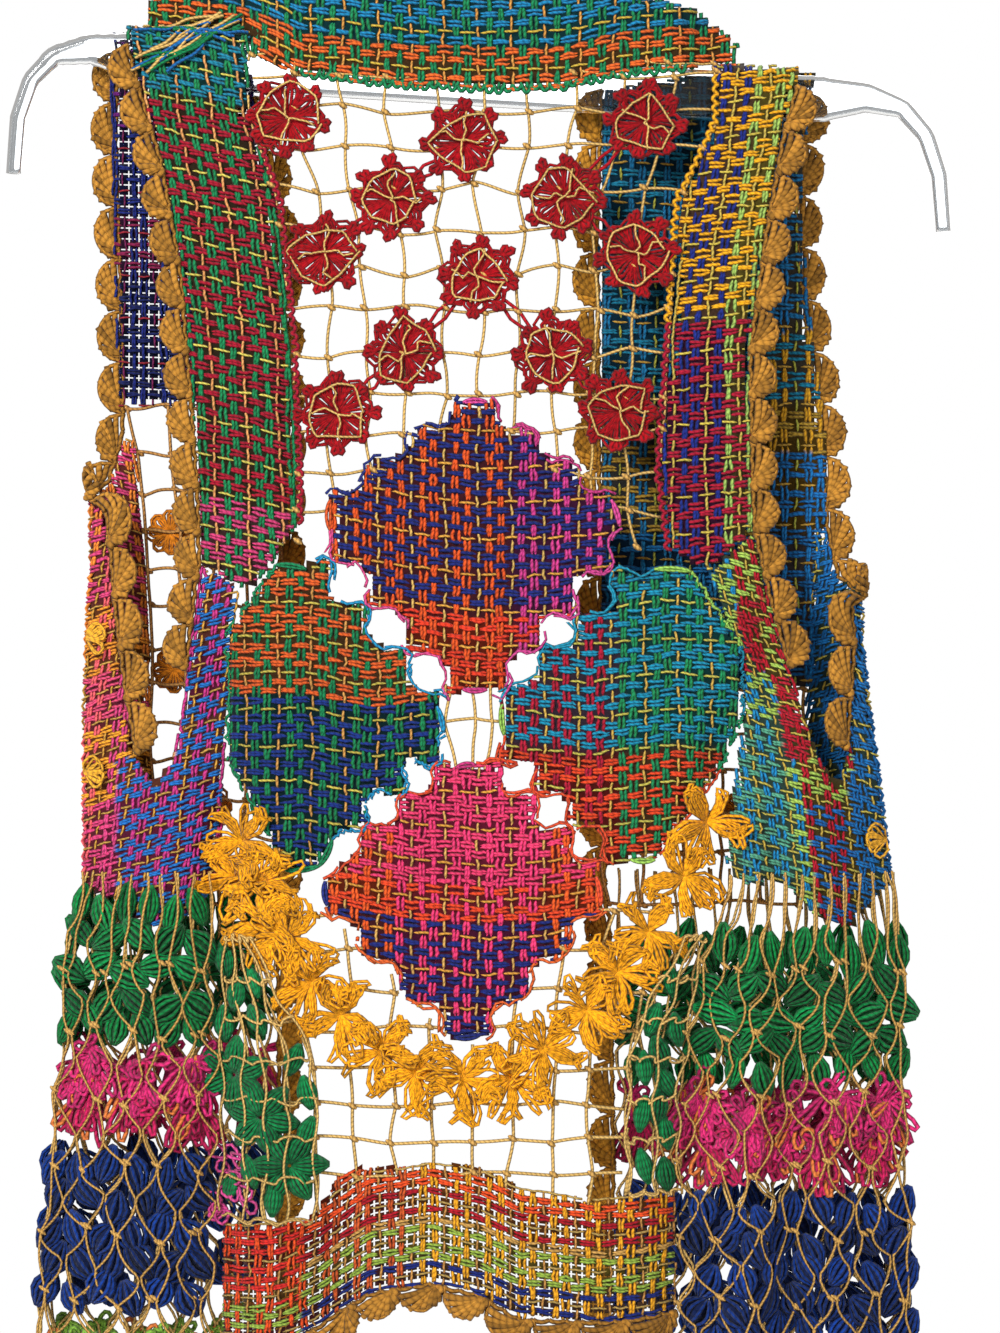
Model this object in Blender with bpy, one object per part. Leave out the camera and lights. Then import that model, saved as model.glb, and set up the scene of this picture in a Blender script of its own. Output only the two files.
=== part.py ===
"""Open-front vest of loom-woven strips, diamonds and flower nets, hung on a clear hanger.

Sizes are in millimetres and turned into metres as each mesh is made. A point on the cloth is
given by x, across the garment, and by drop, its depth under the bearing point of the hook, which
is the origin. The back of the vest faces -Y and the two fronts face +Y.
"""

import math

import bpy
import numpy as np
from mathutils import Vector
from mathutils.geometry import delaunay_2d_cdt

for old_object in list(bpy.data.objects):
    bpy.data.objects.remove(old_object, do_unlink=True)

MM = 0.001

# Clearances and walls
SEAM = 0.3              # gap left between two pieces sewn edge to edge
WEAVE_WALL = 2.0        # loom-woven strips and diamonds, doubled yarn
NET_WALL = 2.0          # single-yarn nets
SHELL_WALL = 3.0        # crochet shell edging
STRAND = 2.6            # width of net left between two gaps
LEAST_GAP = 4.6         # smallest gap that is cut through
GAP_SAMPLES = 5         # points along each side of a gap, where it is tested against the edges
FILL_CLEAR = 0.35       # inner points keep this share of a step off the edges
PEAK_CLEAR = 0.45       # and this share off the tops of puffs and petals

# Shoulder line, laid over the hanger's bar
SHOULDER_DROP = 76.0
TILT = 0.0626           # the right end of the hanger hangs lower
BAR_RADIUS = 5.1        # half the bar's depth, and the round of its top
OVER_BAR = BAR_RADIUS + 0.4 + WEAVE_WALL / 2
STRAP_INNER = 107.0     # from here outwards the cloth goes over the bar
BAND_CLEAR = 90.0       # from here inwards the band stands behind the bar

# Side folds, where the back turns into the fronts: a row for each level
SIDE_FOLDS = (
    # drop, left_x, right_x
    (60, -184, 170),
    (147, -184, 168),
    (193, -183, 169),
    (248, -182, 174),
    (280, -180, 177),
    (313, -180, 178),
    (349, -182, 178),
    (377, -183, 181),
    (414, -183, 186),
    (466, -183, 192),
    (492, -191, 196),
    (540, -192, 196),
    (598, -199, 197),
    (630, -201, 199),
    (700, -207, 200),
)

# How far each layer stands off the hanger's plane: a row for each level
LAYER_DEPTH = (
    # drop, back, front
    (40, 12.0, 7.2),
    (80, 8.6, 7.2),
    (110, 9.5, 8.0),
    (150, 12.0, 10.0),
    (280, 19.0, 17.0),
    (400, 25.0, 22.0),
    (500, 29.0, 25.0),
    (700, 34.0, 29.0),
)

# Largest folds: a ridge stands out from its layer, a valley has a height below nought
FOLDS = (
    # layer, x_top, drop_top, x_bottom, drop_bottom, half_width, height
    ("back", -119, 330, -121, 700, 13, -15),
    ("back", -160, 430, -163, 700, 26, 7),
    ("back", -97, 500, -96, 700, 17, 9),
    ("back", -66, 590, -68, 700, 11, -9),
    ("back", 118, 370, 92, 700, 14, -15),
    ("back", 128, 400, 121, 700, 11, 6),
    ("back", 134, 330, 146, 700, 10, -11),
    ("back", 150, 300, 170, 700, 16, 7),
    ("back", 5, 560, 10, 700, 30, 5),
    ("front", -132, 240, -150, 700, 14, -10),
    ("front", -105, 260, -110, 700, 18, 7),
    ("front", 78, 200, 96, 700, 14, -10),
    ("front", 120, 240, 140, 700, 20, 8),
)
FOLD_FADE = 45.0        # length over which a fold dies out at its top end

# Half the gap between the layers at a side fold, and where the flattening at the sides sets in
FOLD_HALF = NET_WALL / 2 + SEAM / 2
FOLD_TURN = FOLD_HALF + WEAVE_WALL      # the wall turns from one layer's way to the other's
ROUND_FROM, ROUND_TO = 150.0, 300.0

# Yarn colours
OCHRE = (0.56, 0.29, 0.05)
TAN = (0.70, 0.46, 0.16)
CRIMSON = (0.44, 0.01, 0.03)
GREEN = (0.02, 0.26, 0.10)
ORANGE = (0.75, 0.13, 0.03)
NAVY = (0.02, 0.03, 0.22)
MAGENTA = (0.60, 0.04, 0.24)
BLUE = (0.02, 0.22, 0.48)
GOLD = (0.88, 0.42, 0.02)
CLEAR = (0.80, 0.83, 0.86)
STEEL = (0.62, 0.62, 0.64)


def column(table, index):
    """One column of a table of rows, as an array."""
    return np.array([row[index] for row in table], dtype=float)


def read_table(table, drop, index):
    """A table's value at a drop, on straight lines between its rows."""
    return np.interp(drop, column(table, 0), column(table, index))


def shoulder_drop(x):
    """Drop of the shoulder line, which follows the tilted hanger."""
    return SHOULDER_DROP + TILT * x


def smooth_step(low, high, value):
    """0 below low, 1 above high, eased between."""
    t = np.clip((value - low) / (high - low), 0.0, 1.0)
    return t * t * (3.0 - 2.0 * t)


def fold_height(layer, x, drop):
    """Sum of the layer's folds: each is height * exp(-(distance / half_width)^2)."""
    total = np.zeros_like(x)
    for name, x_top, drop_top, x_bottom, drop_bottom, half_width, height in FOLDS:
        if name == layer:
            along = (drop - drop_top) / (drop_bottom - drop_top)
            distance = x - (x_top + (x_bottom - x_top) * along)
            fade = smooth_step(-FOLD_FADE / 2, FOLD_FADE, drop - drop_top)
            total = total + height * fade * np.exp(-((distance / half_width) ** 2))
    return total


def layer_surface(layer):
    """Surface of one layer: (x, drop) to points and to the way the wall is thickened.

    The layer stands off the hanger's plane by its table, falls to the side folds as 1 - |u|^4,
    and over the bar it follows a quarter round of radius OVER_BAR.
    """
    side = -1.0 if layer == "back" else 1.0
    depth_column = 1 if layer == "back" else 2

    def surface(x, drop):
        left = read_table(SIDE_FOLDS, drop, 1)
        right = read_table(SIDE_FOLDS, drop, 2)
        u = (x - (left + right) / 2) / ((right - left) / 2)
        falling = smooth_step(ROUND_FROM, ROUND_TO, drop) * np.minimum(np.abs(u), 1.0) ** 4
        depth = read_table(LAYER_DEPTH, drop, depth_column) + fold_height(layer, x, drop)
        depth = FOLD_HALF + (depth - FOLD_HALF) * (1.0 - falling)
        over = smooth_step(BAND_CLEAR, STRAP_INNER, np.abs(x))
        t = np.clip((drop - shoulder_drop(x)) / OVER_BAR, 0.0, 1.0)
        arc = np.sqrt(np.maximum(1.0 - (1.0 - t) ** 2, 0.0))
        depth = SEAM / 2 + (depth - SEAM / 2) * (1.0 - over * (1.0 - arc))
        points = np.stack([x, side * depth, -drop], axis=1)
        rise = over * (1.0 - t) * (drop > shoulder_drop(x) - SEAM)
        outward = np.stack([np.zeros_like(x), side * np.sqrt(1.0 - rise ** 2), rise], axis=1)
        return points, outward

    return surface


def side_surface(side):
    """Surface round one side fold: s runs from the back, below 0, to the front, above 0."""
    back = layer_surface("back")
    front = layer_surface("front")
    fold_column = 1 if side < 0 else 2

    def surface(s, drop):
        inward = np.maximum(np.abs(s) - FOLD_HALF, 0.0)
        x = read_table(SIDE_FOLDS, drop, fold_column) - side * inward
        share = np.clip(s / FOLD_HALF, -1.0, 1.0)[:, None]
        points = back(x, drop)[0] * (1.0 - share) / 2 + front(x, drop)[0] * (1.0 + share) / 2
        turn = np.clip(s / FOLD_TURN, -1.0, 1.0)
        outward = np.stack([side * np.sqrt(1.0 - turn ** 2), turn, np.zeros_like(s)], axis=1)
        flat_part = (inward > WEAVE_WALL)[:, None]
        layer_way = np.where((s < 0)[:, None], back(x, drop)[1], front(x, drop)[1])
        return points, np.where(flat_part, layer_way, outward)

    return surface


BACK = layer_surface("back")
FRONT = layer_surface("front")
LEFT_SIDE = side_surface(-1)
RIGHT_SIDE = side_surface(1)


def round_side(side, rows):
    """Turns (layer, x, drop) rows into points of a side surface.

    Each run is cut at the levels of the fold table, so that it stays straight on its layer.
    """
    fold_column = 1 if side < 0 else 2
    points = []
    for index, (layer, x, drop) in enumerate(rows):
        run = [(x, drop)]
        if index + 1 < len(rows) and rows[index + 1][0] == layer:
            run = split_levels((x, drop), rows[index + 1][1:])
        for place, level in run:
            inward = abs(float(read_table(SIDE_FOLDS, level, fold_column)) - place)
            points.append(((inward + FOLD_HALF) * (-1 if layer == "back" else 1), level))
    return points


def split_levels(start, end):
    """A run's start, and where the run crosses the fold table's levels."""
    (x0, d0), (x1, d1) = start, end
    levels = [level for level in column(SIDE_FOLDS, 0) if min(d0, d1) + 2 < level < max(d0, d1) - 2]
    levels.sort(reverse=d1 < d0)
    return [(x0, d0)] + [(x0 + (x1 - x0) * (d - d0) / (d1 - d0), float(d)) for d in levels]


def material(name, colour, roughness=0.9, metallic=0.0, alpha=1.0):
    """A Principled material in the piece's main colour."""
    made = bpy.data.materials.new(name)
    made.use_nodes = True
    shader = made.node_tree.nodes["Principled BSDF"]
    shader.inputs["Base Color"].default_value = (*colour, 1.0)
    shader.inputs["Roughness"].default_value = roughness
    shader.inputs["Metallic"].default_value = metallic
    shader.inputs["Alpha"].default_value = alpha
    made.diffuse_color = (*colour, alpha)
    return made


def inside(points, polygon):
    """True for each point inside a polygon, by counting crossings."""
    x, y = points[:, 0][:, None], points[:, 1][:, None]
    a = np.asarray(polygon, dtype=float)
    b = np.roll(a, -1, axis=0)
    spans = (a[:, 1] > y) != (b[:, 1] > y)
    rise = np.where(b[:, 1] == a[:, 1], 1e-9, b[:, 1] - a[:, 1])
    crossing = a[:, 0] + (y - a[:, 1]) * (b[:, 0] - a[:, 0]) / rise
    return np.sum(spans & (x < crossing), axis=1) % 2 == 1


def edge_distance(points, polygon):
    """Distance from each point to the nearest edge of a polygon."""
    a = np.asarray(polygon, dtype=float)
    run = np.roll(a, -1, axis=0) - a
    offset = points[:, None, :] - a[None, :, :]
    length = np.maximum(np.sum(run ** 2, axis=1), 1e-9)
    t = np.clip(np.sum(offset * run, axis=2) / length, 0.0, 1.0)
    return np.min(np.linalg.norm(offset - t[:, :, None] * run, axis=2), axis=1)


def split_edges(polygon, longest):
    """A polygon with its edges split at the fold table's levels and to a longest length."""
    result = []
    for start, end in zip(polygon, polygon[1:] + polygon[:1]):
        run = split_levels(start, end) + [end]
        for (x0, d0), (x1, d1) in zip(run, run[1:]):
            count = max(1, math.ceil(math.hypot(x1 - x0, (d1 - d0) / 3) / longest))
            result += [(x0 + (x1 - x0) * i / count, d0 + (d1 - d0) * i / count) for i in range(count)]
    return result


def split_line(points, longest):
    """An open line cut as split_edges cuts an outline."""
    cut = split_edges(points, longest)
    return cut[:cut.index(points[-1]) + 1]


def relief(u, v, raised):
    """Height of the puffs and petals: the highest of height * (1 - (distance / radius)^2)."""
    height = np.zeros_like(u)
    for centre_u, centre_v, radius, rise in raised:
        distance = np.hypot(u - centre_u, v - centre_v) / radius
        height = np.maximum(height, rise * np.maximum(1.0 - distance ** 2, 0.0))
    return height


def cloth(name, outline, surface, wall, colour, gaps=(), raised=(), creases=(), step=(14, 30)):
    """One closed wall of cloth over a flat outline.

    The outline, its gaps and its inner points are joined into triangles in the flat, laid on the
    surface, and thickened by half the wall to each side. Raised points stand out on the outer
    side only. The rims of the outline and of each gap close the wall.
    """
    outline = split_edges([tuple(map(float, p)) for p in outline], step[0])
    flat = np.array(outline)
    low, high = flat.min(axis=0), flat.max(axis=0)
    columns = max(1, round((high[0] - low[0]) / step[0]))
    rows = max(1, round((high[1] - low[1]) / step[1]))
    grid_u, grid_v = np.meshgrid(
        low[0] + (high[0] - low[0]) * (np.arange(columns) + 0.5) / columns,
        low[1] + (high[1] - low[1]) * (np.arange(rows) + 0.5) / rows,
    )
    fill = np.stack([grid_u.ravel(), grid_v.ravel()], axis=1)
    peaks = np.array([(u, v) for u, v, _, _ in raised]).reshape(-1, 2)
    loops = [outline] + [list(gap) for gap in gaps]
    for loop in loops:
        if len(fill):
            fill = fill[edge_distance(fill, loop) > step[0] * FILL_CLEAR]
        if len(peaks):
            peaks = peaks[edge_distance(peaks, loop) > 1.0]
    if len(peaks) and len(fill):
        nearest = np.min(np.linalg.norm(fill[:, None] - peaks[None], axis=2), axis=1)
        fill = fill[nearest > step[0] * PEAK_CLEAR]
    points, edges = [], []
    for loop in loops:
        first = len(points)
        points += loop
        edges += [(first + i, first + (i + 1) % len(loop)) for i in range(len(loop))]
    for line in creases:
        first = len(points)
        points += line
        edges += [(first + i, first + i + 1) for i in range(len(line) - 1)]
    points += [tuple(p) for p in fill] + [tuple(p) for p in peaks]
    result = delaunay_2d_cdt([Vector(p) for p in points], edges, [], 0, 1e-5)
    flat = np.array([tuple(v) for v in result[0]])
    triangles = np.array([tuple(f) for f in result[2]])
    centres = flat[triangles].mean(axis=1)
    keep = inside(centres, outline)
    for gap in gaps:
        keep &= ~inside(centres, gap)
    triangles = triangles[keep]
    used, triangles = np.unique(triangles, return_inverse=True)
    triangles = triangles.reshape(-1, 3)
    flat = flat[used]
    a, b, c = (flat[triangles[:, i]] for i in range(3))
    turned = (b[:, 0] - a[:, 0]) * (c[:, 1] - a[:, 1]) < (b[:, 1] - a[:, 1]) * (c[:, 0] - a[:, 0])
    triangles[turned] = triangles[turned][:, ::-1]
    middle, outward = surface(flat[:, 0], flat[:, 1])
    thick = wall / 2 + relief(flat[:, 0], flat[:, 1], raised)
    vertices = np.concatenate([middle + outward * thick[:, None], middle - outward * wall / 2])
    count = len(flat)
    directed = {(int(t[i]), int(t[(i + 1) % 3])) for t in triangles for i in range(3)}
    rims = [(i, j) for i, j in directed if (j, i) not in directed]
    faces = [tuple(t) for t in triangles] + [tuple(t[::-1] + count) for t in triangles]
    faces += [(j, i, i + count, j + count) for i, j in rims]
    return solid(name, vertices, faces, material(name, colour))


def solid(name, vertices, faces, finish):
    """A mesh object from millimetre points, its faces turned outwards."""
    mesh = bpy.data.meshes.new(name)
    mesh.from_pydata((np.asarray(vertices) * MM).tolist(), [], [list(map(int, f)) for f in faces])
    mesh.update()
    corner = [mesh.vertices[mesh.polygons[0].vertices[0]].co.copy()]
    volume = 0.0
    for face in mesh.polygons:
        p = [mesh.vertices[i].co - corner[0] for i in face.vertices]
        for i in range(1, len(p) - 1):
            volume += p[0].dot(p[i].cross(p[i + 1]))
    if volume < 0:
        mesh.flip_normals()
    mesh.materials.append(finish)
    made = bpy.data.objects.new(name, mesh)
    bpy.context.scene.collection.objects.link(made)
    return made


def clip_gap(corners, outline, blocks):
    """A gap's outline with what lies near the net's edge or on a flower cut off, or None if too small.

    Points are spread along the gap's sides, those in the way are left out, and what is left is
    joined up again, so that the gap stays convex.
    """
    corners = np.array(corners, dtype=float)
    sides = np.roll(corners, -1, axis=0) - corners
    shares = np.arange(GAP_SAMPLES)[None, :, None] / GAP_SAMPLES
    rim = (corners[:, None, :] + sides[:, None, :] * shares).reshape(-1, 2)
    clear = inside(rim, outline) & (edge_distance(rim, outline) > STRAND)
    for x, drop, radius in blocks:
        clear &= np.hypot(rim[:, 0] - x, rim[:, 1] - drop) > radius
    rim = rim[clear]
    if len(rim) < 3:
        return None
    before, after = rim - np.roll(rim, 1, axis=0), np.roll(rim, -1, axis=0) - rim
    bend = before[:, 0] * after[:, 1] - before[:, 1] * after[:, 0]
    rim = rim[np.abs(bend) > 0.5]
    if len(rim) < 3:
        return None
    ahead = np.roll(rim, -1, axis=0)
    area = abs(np.sum(rim[:, 0] * ahead[:, 1] - ahead[:, 0] * rim[:, 1])) / 2
    width, height = rim.max(axis=0) - rim.min(axis=0)
    if min(width, height) < LEAST_GAP or area < LEAST_GAP * max(width, height) * 0.7:
        return None
    return [tuple(p) for p in rim]


def grid_gaps(outline, left, right, levels, columns, blocks=()):
    """Gaps of a square net: columns between two edge tables, rows between listed levels."""
    gaps = []
    for top, bottom in zip(levels, levels[1:]):
        for i in range(columns):
            corners = []
            for drop, share in ((top, i), (top, i + 1), (bottom, i + 1), (bottom, i)):
                start = np.interp(drop, *zip(*[(d, x) for x, d in left]))
                end = np.interp(drop, *zip(*[(d, x) for x, d in right]))
                corners.append((start + (end - start) * share / columns, drop))
            corners = np.array(corners)
            centre = corners.mean(axis=0)
            inset = 1.0 - STRAND / np.abs(corners - centre).max(axis=0) / 2
            gap = clip_gap(centre + (corners - centre) * inset, outline, blocks)
            if gap:
                gaps.append(gap)
    return gaps


def net_rows(outline, rows, left, right):
    """Gaps of a gathered net, as tall diamonds with blunt ends: a row for each level."""
    gaps = []
    for top, bottom, columns, width_share, shift in rows:
        middle = (top + bottom) / 2
        start = np.interp(middle, *zip(*[(d, x) for x, d in left]))
        end = np.interp(middle, *zip(*[(d, x) for x, d in right]))
        pitch = (end - start) / columns
        for i in range(columns):
            centre = start + pitch * (i + 0.5 + shift)
            half = pitch * width_share / 2
            corners = [(centre, top), (centre + half, middle), (centre, bottom), (centre - half, middle)]
            gap = clip_gap(corners, outline, ())
            if gap:
                gaps.append(gap)
    return gaps


def puff_rows(rows, left, right):
    """Raised puffs in rows across a net: each row has its own count, radius and height."""
    raised = []
    for drop, count, radius, rise, shift in rows:
        start = np.interp(drop, *zip(*[(d, x) for x, d in left]))
        end = np.interp(drop, *zip(*[(d, x) for x, d in right]))
        raised += [
            (start + (end - start) * (i + 0.5 + shift) / count, drop, radius, rise)
            for i in range(count)
        ]
    return raised


def flower(x, drop, petals, ring, petal_radius, rise):
    """A raised centre and a ring of raised petals."""
    turns = [2.0 * math.pi * i / petals for i in range(petals)]
    points = [(x + ring * math.cos(t), drop + ring * math.sin(t), petal_radius, rise) for t in turns]
    return points + [(x, drop, petal_radius, rise * 0.4)]


def offset_line(points, distance):
    """An open line moved by a distance towards growing x of a line that runs down, corners mitred."""
    points = np.array(points, dtype=float)
    along = np.diff(points, axis=0)
    along /= np.linalg.norm(along, axis=1)[:, None]
    normal = np.stack([along[:, 1], -along[:, 0]], axis=1)
    before = np.concatenate([normal[:1], normal])
    after = np.concatenate([normal, normal[-1:]])
    mitre = before + after
    mitre /= np.sum(mitre * before, axis=1)[:, None]
    return points + mitre * distance


SHELL = 13.0            # how far a shell stands out from the edge it is worked on
SHELL_RISE = 1.2        # how far its middle swells out of the wall
SHELL_OUTLINE = (
    # share of the shell's length, share of its reach
    (0.0, 0.42),
    (0.22, 0.94),
    (0.78, 0.94),
)
BASE_LOOK = 9.0         # length over which the way of the base line is taken


def shell_edging(name, base, surface, shells, reach, way, colour=OCHRE, creases=()):
    """A row of crochet shells along a base line, a round scallop for each, bulging out by reach.

    way is 1 where the shells lie towards growing x of a line that runs down, and -1 otherwise.
    """
    base = np.array(base, dtype=float)
    run = np.concatenate([[0.0], np.cumsum(np.linalg.norm(np.diff(base, axis=0), axis=1))])

    def at(share):
        place = share * run[-1]
        point = np.array([np.interp(place, run, base[:, i]) for i in (0, 1)])
        ahead = np.array([np.interp(min(place + BASE_LOOK, run[-1]), run, base[:, i]) for i in (0, 1)])
        behind = np.array([np.interp(max(place - BASE_LOOK, 0), run, base[:, i]) for i in (0, 1)])
        along = (ahead - behind) / np.linalg.norm(ahead - behind)
        return point, np.array([along[1], -along[0]]) * way

    inner = [tuple(p) for p in offset_line(base, SEAM * way)]
    outer, raised = [], []
    for i in range(shells):
        for part, bulge in SHELL_OUTLINE:
            point, out = at((i + part) / shells)
            outer.append(tuple(point + out * reach * bulge))
        point, out = at((i + 0.5) / shells)
        raised.append((*(point + out * reach * 0.55), reach * 0.7, SHELL_RISE))
    point, out = at(1.0)
    outer.append(tuple(point + out * reach * SHELL_OUTLINE[0][1]))
    cloth(name, inner + outer[::-1], surface, SHELL_WALL, colour,
          raised=raised, creases=creases, step=(60, 90))


def shift_line(points, dx, dd=0.0):
    """A line moved across by dx and down by dd."""
    return [(x + dx, d + dd) for x, d in points]


# Edges of the back that more than one piece shares, each from the top down: (x, drop)
STRAP_LEFT_OUT = [(-162, 66), (-153, 106), (-146, 129), (-137, 179), (-132, 239), (-129, 280), (-128, 313)]
STRAP_LEFT_IN = [(-107, 69.5), (-107, 106), (-93, 147), (-86, 211), (-83, 296)]
STRAP_RIGHT_IN = [(111, 83), (111, 110), (93, 147), (89, 207), (84, 271), (89, 308)]
STRAP_RIGHT_OUT = [(148, 85.3), (141, 115), (132, 165), (125, 216), (126, 276), (127, 299)]
BAND_UNDER = [(-82, 87), (-36, 92), (10, 94), (38, 93), (65, 87), (96, 84)]
HEM_TOP = [(-74, 616), (-63, 594), (-22, 589), (1, 591), (19, 600), (52, 607), (68, 605)]

crest_lifts = [OVER_BAR * (1.0 - math.cos(math.radians(a))) for a in (30, 60, 90)]


def crest_creases(x0, x1):
    """Lines along a strap at 30, 60 and 90 degrees round the bar."""
    return [[(x, shoulder_drop(x) + lift) for x in (x0, x1)] for lift in crest_lifts]


# Neck band, standing behind the hanger's neck and laid on both shoulders
crest_clear = WEAVE_WALL / 2 + SEAM + 0.1
band_outline = [(-154, shoulder_drop(-154) - crest_clear)]
band_outline += [(-106.5, shoulder_drop(-106.5) - crest_clear), (-106.5, 77)]
band_outline += BAND_UNDER
band_outline += [(107, shoulder_drop(107) - crest_clear), (120, shoulder_drop(120) - crest_clear)]
band_outline += [(120, 72), (102, 57), (56, 48), (17, 43), (-22, 42), (-65, 43), (-105, 45), (-152, 50)]
band_creases = [[(x, 30), (x, 110)] for x in (-107, -98, -90, 90, 98, 107)]
band_creases += crest_creases(-112, -88) + crest_creases(88, 125)
cloth("neck_band", band_outline, BACK, WEAVE_WALL, GREEN, creases=band_creases)

# Straps: the crest lines keep the round over the bar
strap_left = STRAP_LEFT_OUT + [(-109, 326), (-99, 321)] + STRAP_LEFT_IN[::-1]
strap_left[0] = (-162, shoulder_drop(-162))
strap_left[-1] = (-107, shoulder_drop(-107))
cloth("back_strap_left", strap_left, BACK, WEAVE_WALL, CRIMSON, creases=crest_creases(-175, -95))
strap_right = STRAP_RIGHT_IN + [(106, 318)] + STRAP_RIGHT_OUT[::-1]
strap_right[0] = (111, shoulder_drop(111))
strap_right[-1] = (148, shoulder_drop(148))
cloth("back_strap_right", strap_right, BACK, WEAVE_WALL, CRIMSON, creases=crest_creases(100, 160))

# Flower net between the straps, down to the top diamond
RED_FLOWERS = (
    # x, drop
    (-88, 108), (-7, 119), (77, 110), (-40, 146), (40, 145), (-71, 171),
    (0, 182), (73, 171), (-34, 217), (34, 217), (-65, 245), (65, 244),
)
DIAMOND_TOP = [(-7, 240), (4, 240), (61, 285), (65, 297), (4, 372), (-7, 372), (-68, 299), (-68, 285)]
net_outline = shift_line(BAND_UNDER, 0, SEAM + 0.1) + shift_line(STRAP_RIGHT_IN[1:], -SEAM - 0.1)
net_outline.insert(6, (110.6, 86))
net_outline += [(72, 305), (66, 297)]
net_outline += [(61.5, 284.5), (4.3, 239.5), (-7.3, 239.5), (-68.4, 284.5), (-68.4, 299)]
net_outline += [(-76, 305)] + shift_line(STRAP_LEFT_IN[:0:-1], SEAM + 0.1) + [(-106.3, 78)]
flower_relief = []
for flower_x, flower_drop in RED_FLOWERS:
    flower_relief += flower(flower_x, flower_drop, 8, 12.5, 7.0, 2.4)
flower_levels = [88, 104, 122, 141, 160, 179, 198, 217, 236, 254, 272, 290]
flower_gaps = grid_gaps(
    net_outline, STRAP_LEFT_IN, STRAP_RIGHT_IN, flower_levels, 10,
    [(x, drop, 16.0) for x, drop in RED_FLOWERS],
)
cloth("back_flower_net", net_outline, BACK, NET_WALL, TAN, flower_gaps, flower_relief, step=(24, 34))

# Diamonds: blunt corners, and loops of yarn that reach to the neighbour at each joining point
DIAMONDS = (
    # name, colour, outline
    ("diamond_top", NAVY, DIAMOND_TOP),
    ("diamond_left", GREEN,
     [(-90, 316), (-79, 317), (-19, 380), (-16, 392), (-47, 418), (-67, 441), (-73, 453), (-84, 453),
      (-113, 400), (-113, 352)]),
    ("diamond_right", BLUE,
     [(81, 317), (98, 318), (121, 352), (122, 382), (81, 450), (70, 450), (12, 393), (11, 379)]),
    ("diamond_bottom", MAGENTA,
     [(-10, 408), (-1, 407), (54, 458), (56, 471), (1, 530), (-11, 531), (-69, 471), (-70, 460)]),
)
JOINS = (
    # one diamond, its side, the other diamond, its side, x, drop of the joining point
    ("diamond_top", 5, "diamond_left", 1, -66, 308),
    ("diamond_top", 5, "diamond_left", 1, -51, 330),
    ("diamond_top", 5, "diamond_left", 1, -34, 351),
    ("diamond_top", 5, "diamond_left", 1, -15, 374),
    ("diamond_top", 3, "diamond_right", 7, 62, 310),
    ("diamond_top", 3, "diamond_right", 7, 45, 329),
    ("diamond_top", 3, "diamond_right", 7, 29, 349),
    ("diamond_top", 3, "diamond_right", 7, 12, 370),
    ("diamond_left", 3, "diamond_bottom", 7, -25, 407),
    ("diamond_left", 4, "diamond_bottom", 7, -51, 434),
    ("diamond_right", 5, "diamond_bottom", 1, 14, 405),
    ("diamond_right", 5, "diamond_bottom", 1, 26, 418),
    ("diamond_right", 5, "diamond_bottom", 1, 42, 434),
    ("diamond_right", 5, "diamond_bottom", 1, 60, 450),
    ("diamond_top", 4, "diamond_bottom", 0, -2, 389),
)
CROSS = (
    # diamond, its side, x, drop: level loops that end beside the upright ones
    ("diamond_left", 2, -4, 389),
    ("diamond_right", 6, 0, 389),
)
JOIN_ROOT, JOIN_TIP, JOIN_CLEAR = 7.0, 3.0, 0.35


def joins_of(name, index):
    """The joining points on one side of a diamond."""
    places = [(x, d) for a, i, _, _, x, d in JOINS if (a, i) == (name, index)]
    places += [(x, d) for _, _, b, i, x, d in JOINS if (b, i) == (name, index)]
    return places + [(x, d) for a, i, x, d in CROSS if (a, i) == (name, index)]


def with_joins(name, outline):
    """A diamond's outline with a tapered loop from its side to each of its joining points."""
    result = []
    for index, start in enumerate(outline):
        end = np.array(outline[(index + 1) % len(outline)], dtype=float)
        start = np.array(start, dtype=float)
        result.append(tuple(start))
        along = (end - start) / np.linalg.norm(end - start)
        targets = [np.array(place, dtype=float) for place in joins_of(name, index)]
        for target in sorted(targets, key=lambda t: float(np.dot(t - start, along))):
            root = start + along * np.dot(target - start, along)
            half = min(JOIN_ROOT / 2, np.linalg.norm(end - start) / 2 - 0.6)
            out = (target - root) / np.linalg.norm(target - root)
            tip = target - out * JOIN_CLEAR
            for place in (root - along * half, tip - along * JOIN_TIP / 2,
                          tip + along * JOIN_TIP / 2, root + along * half):
                result.append(tuple(place))
    return result


for diamond, diamond_colour, diamond_outline in DIAMONDS:
    tabs = with_joins(diamond, diamond_outline)
    cloth(diamond, tabs, BACK, WEAVE_WALL, diamond_colour, step=(22, 34))

# Garland net: yellow flowers in a V under the diamonds, and a square net down to the hem band
GARLAND = (
    # x, drop
    (-106, 440), (-98, 461), (-90, 483), (-78, 503), (-62, 520), (-46, 537), (-26, 549),
    (-6, 552), (14, 548), (31, 536), (49, 519), (64, 501), (79, 481), (92, 458), (103, 434),
)
garland_left = [(-117, 404), (-116, 441), (-107, 483), (-88, 515), (-76, 540), (-74.4, 614)]
garland_right = [(121, 390), (112, 446), (98, 485), (77, 516), (69, 543), (68.4, 603)]
garland_outline = garland_left + shift_line(HEM_TOP[1:-1], 0, -SEAM - 0.1) + garland_right[::-1]
garland_outline += [(81.7, 450.8), (69.6, 450.8), (62.5, 454)]
garland_outline += [(56.6, 471.2), (1.3, 530.6), (-11.3, 531.6), (-69.6, 471.2), (-70.6, 460)]
garland_outline += [(-73.6, 453.6), (-84.2, 453.6), (-113.6, 400)]
garland_relief = []
for flower_x, flower_drop in GARLAND:
    garland_relief += flower(flower_x, flower_drop, 5, 8.5, 6.5, 3.6)
GRID_LEFT = [(460, -84), (540, -76), (616, -74)]
GRID_RIGHT = [(460, 84), (540, 70), (616, 68)]


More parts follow.
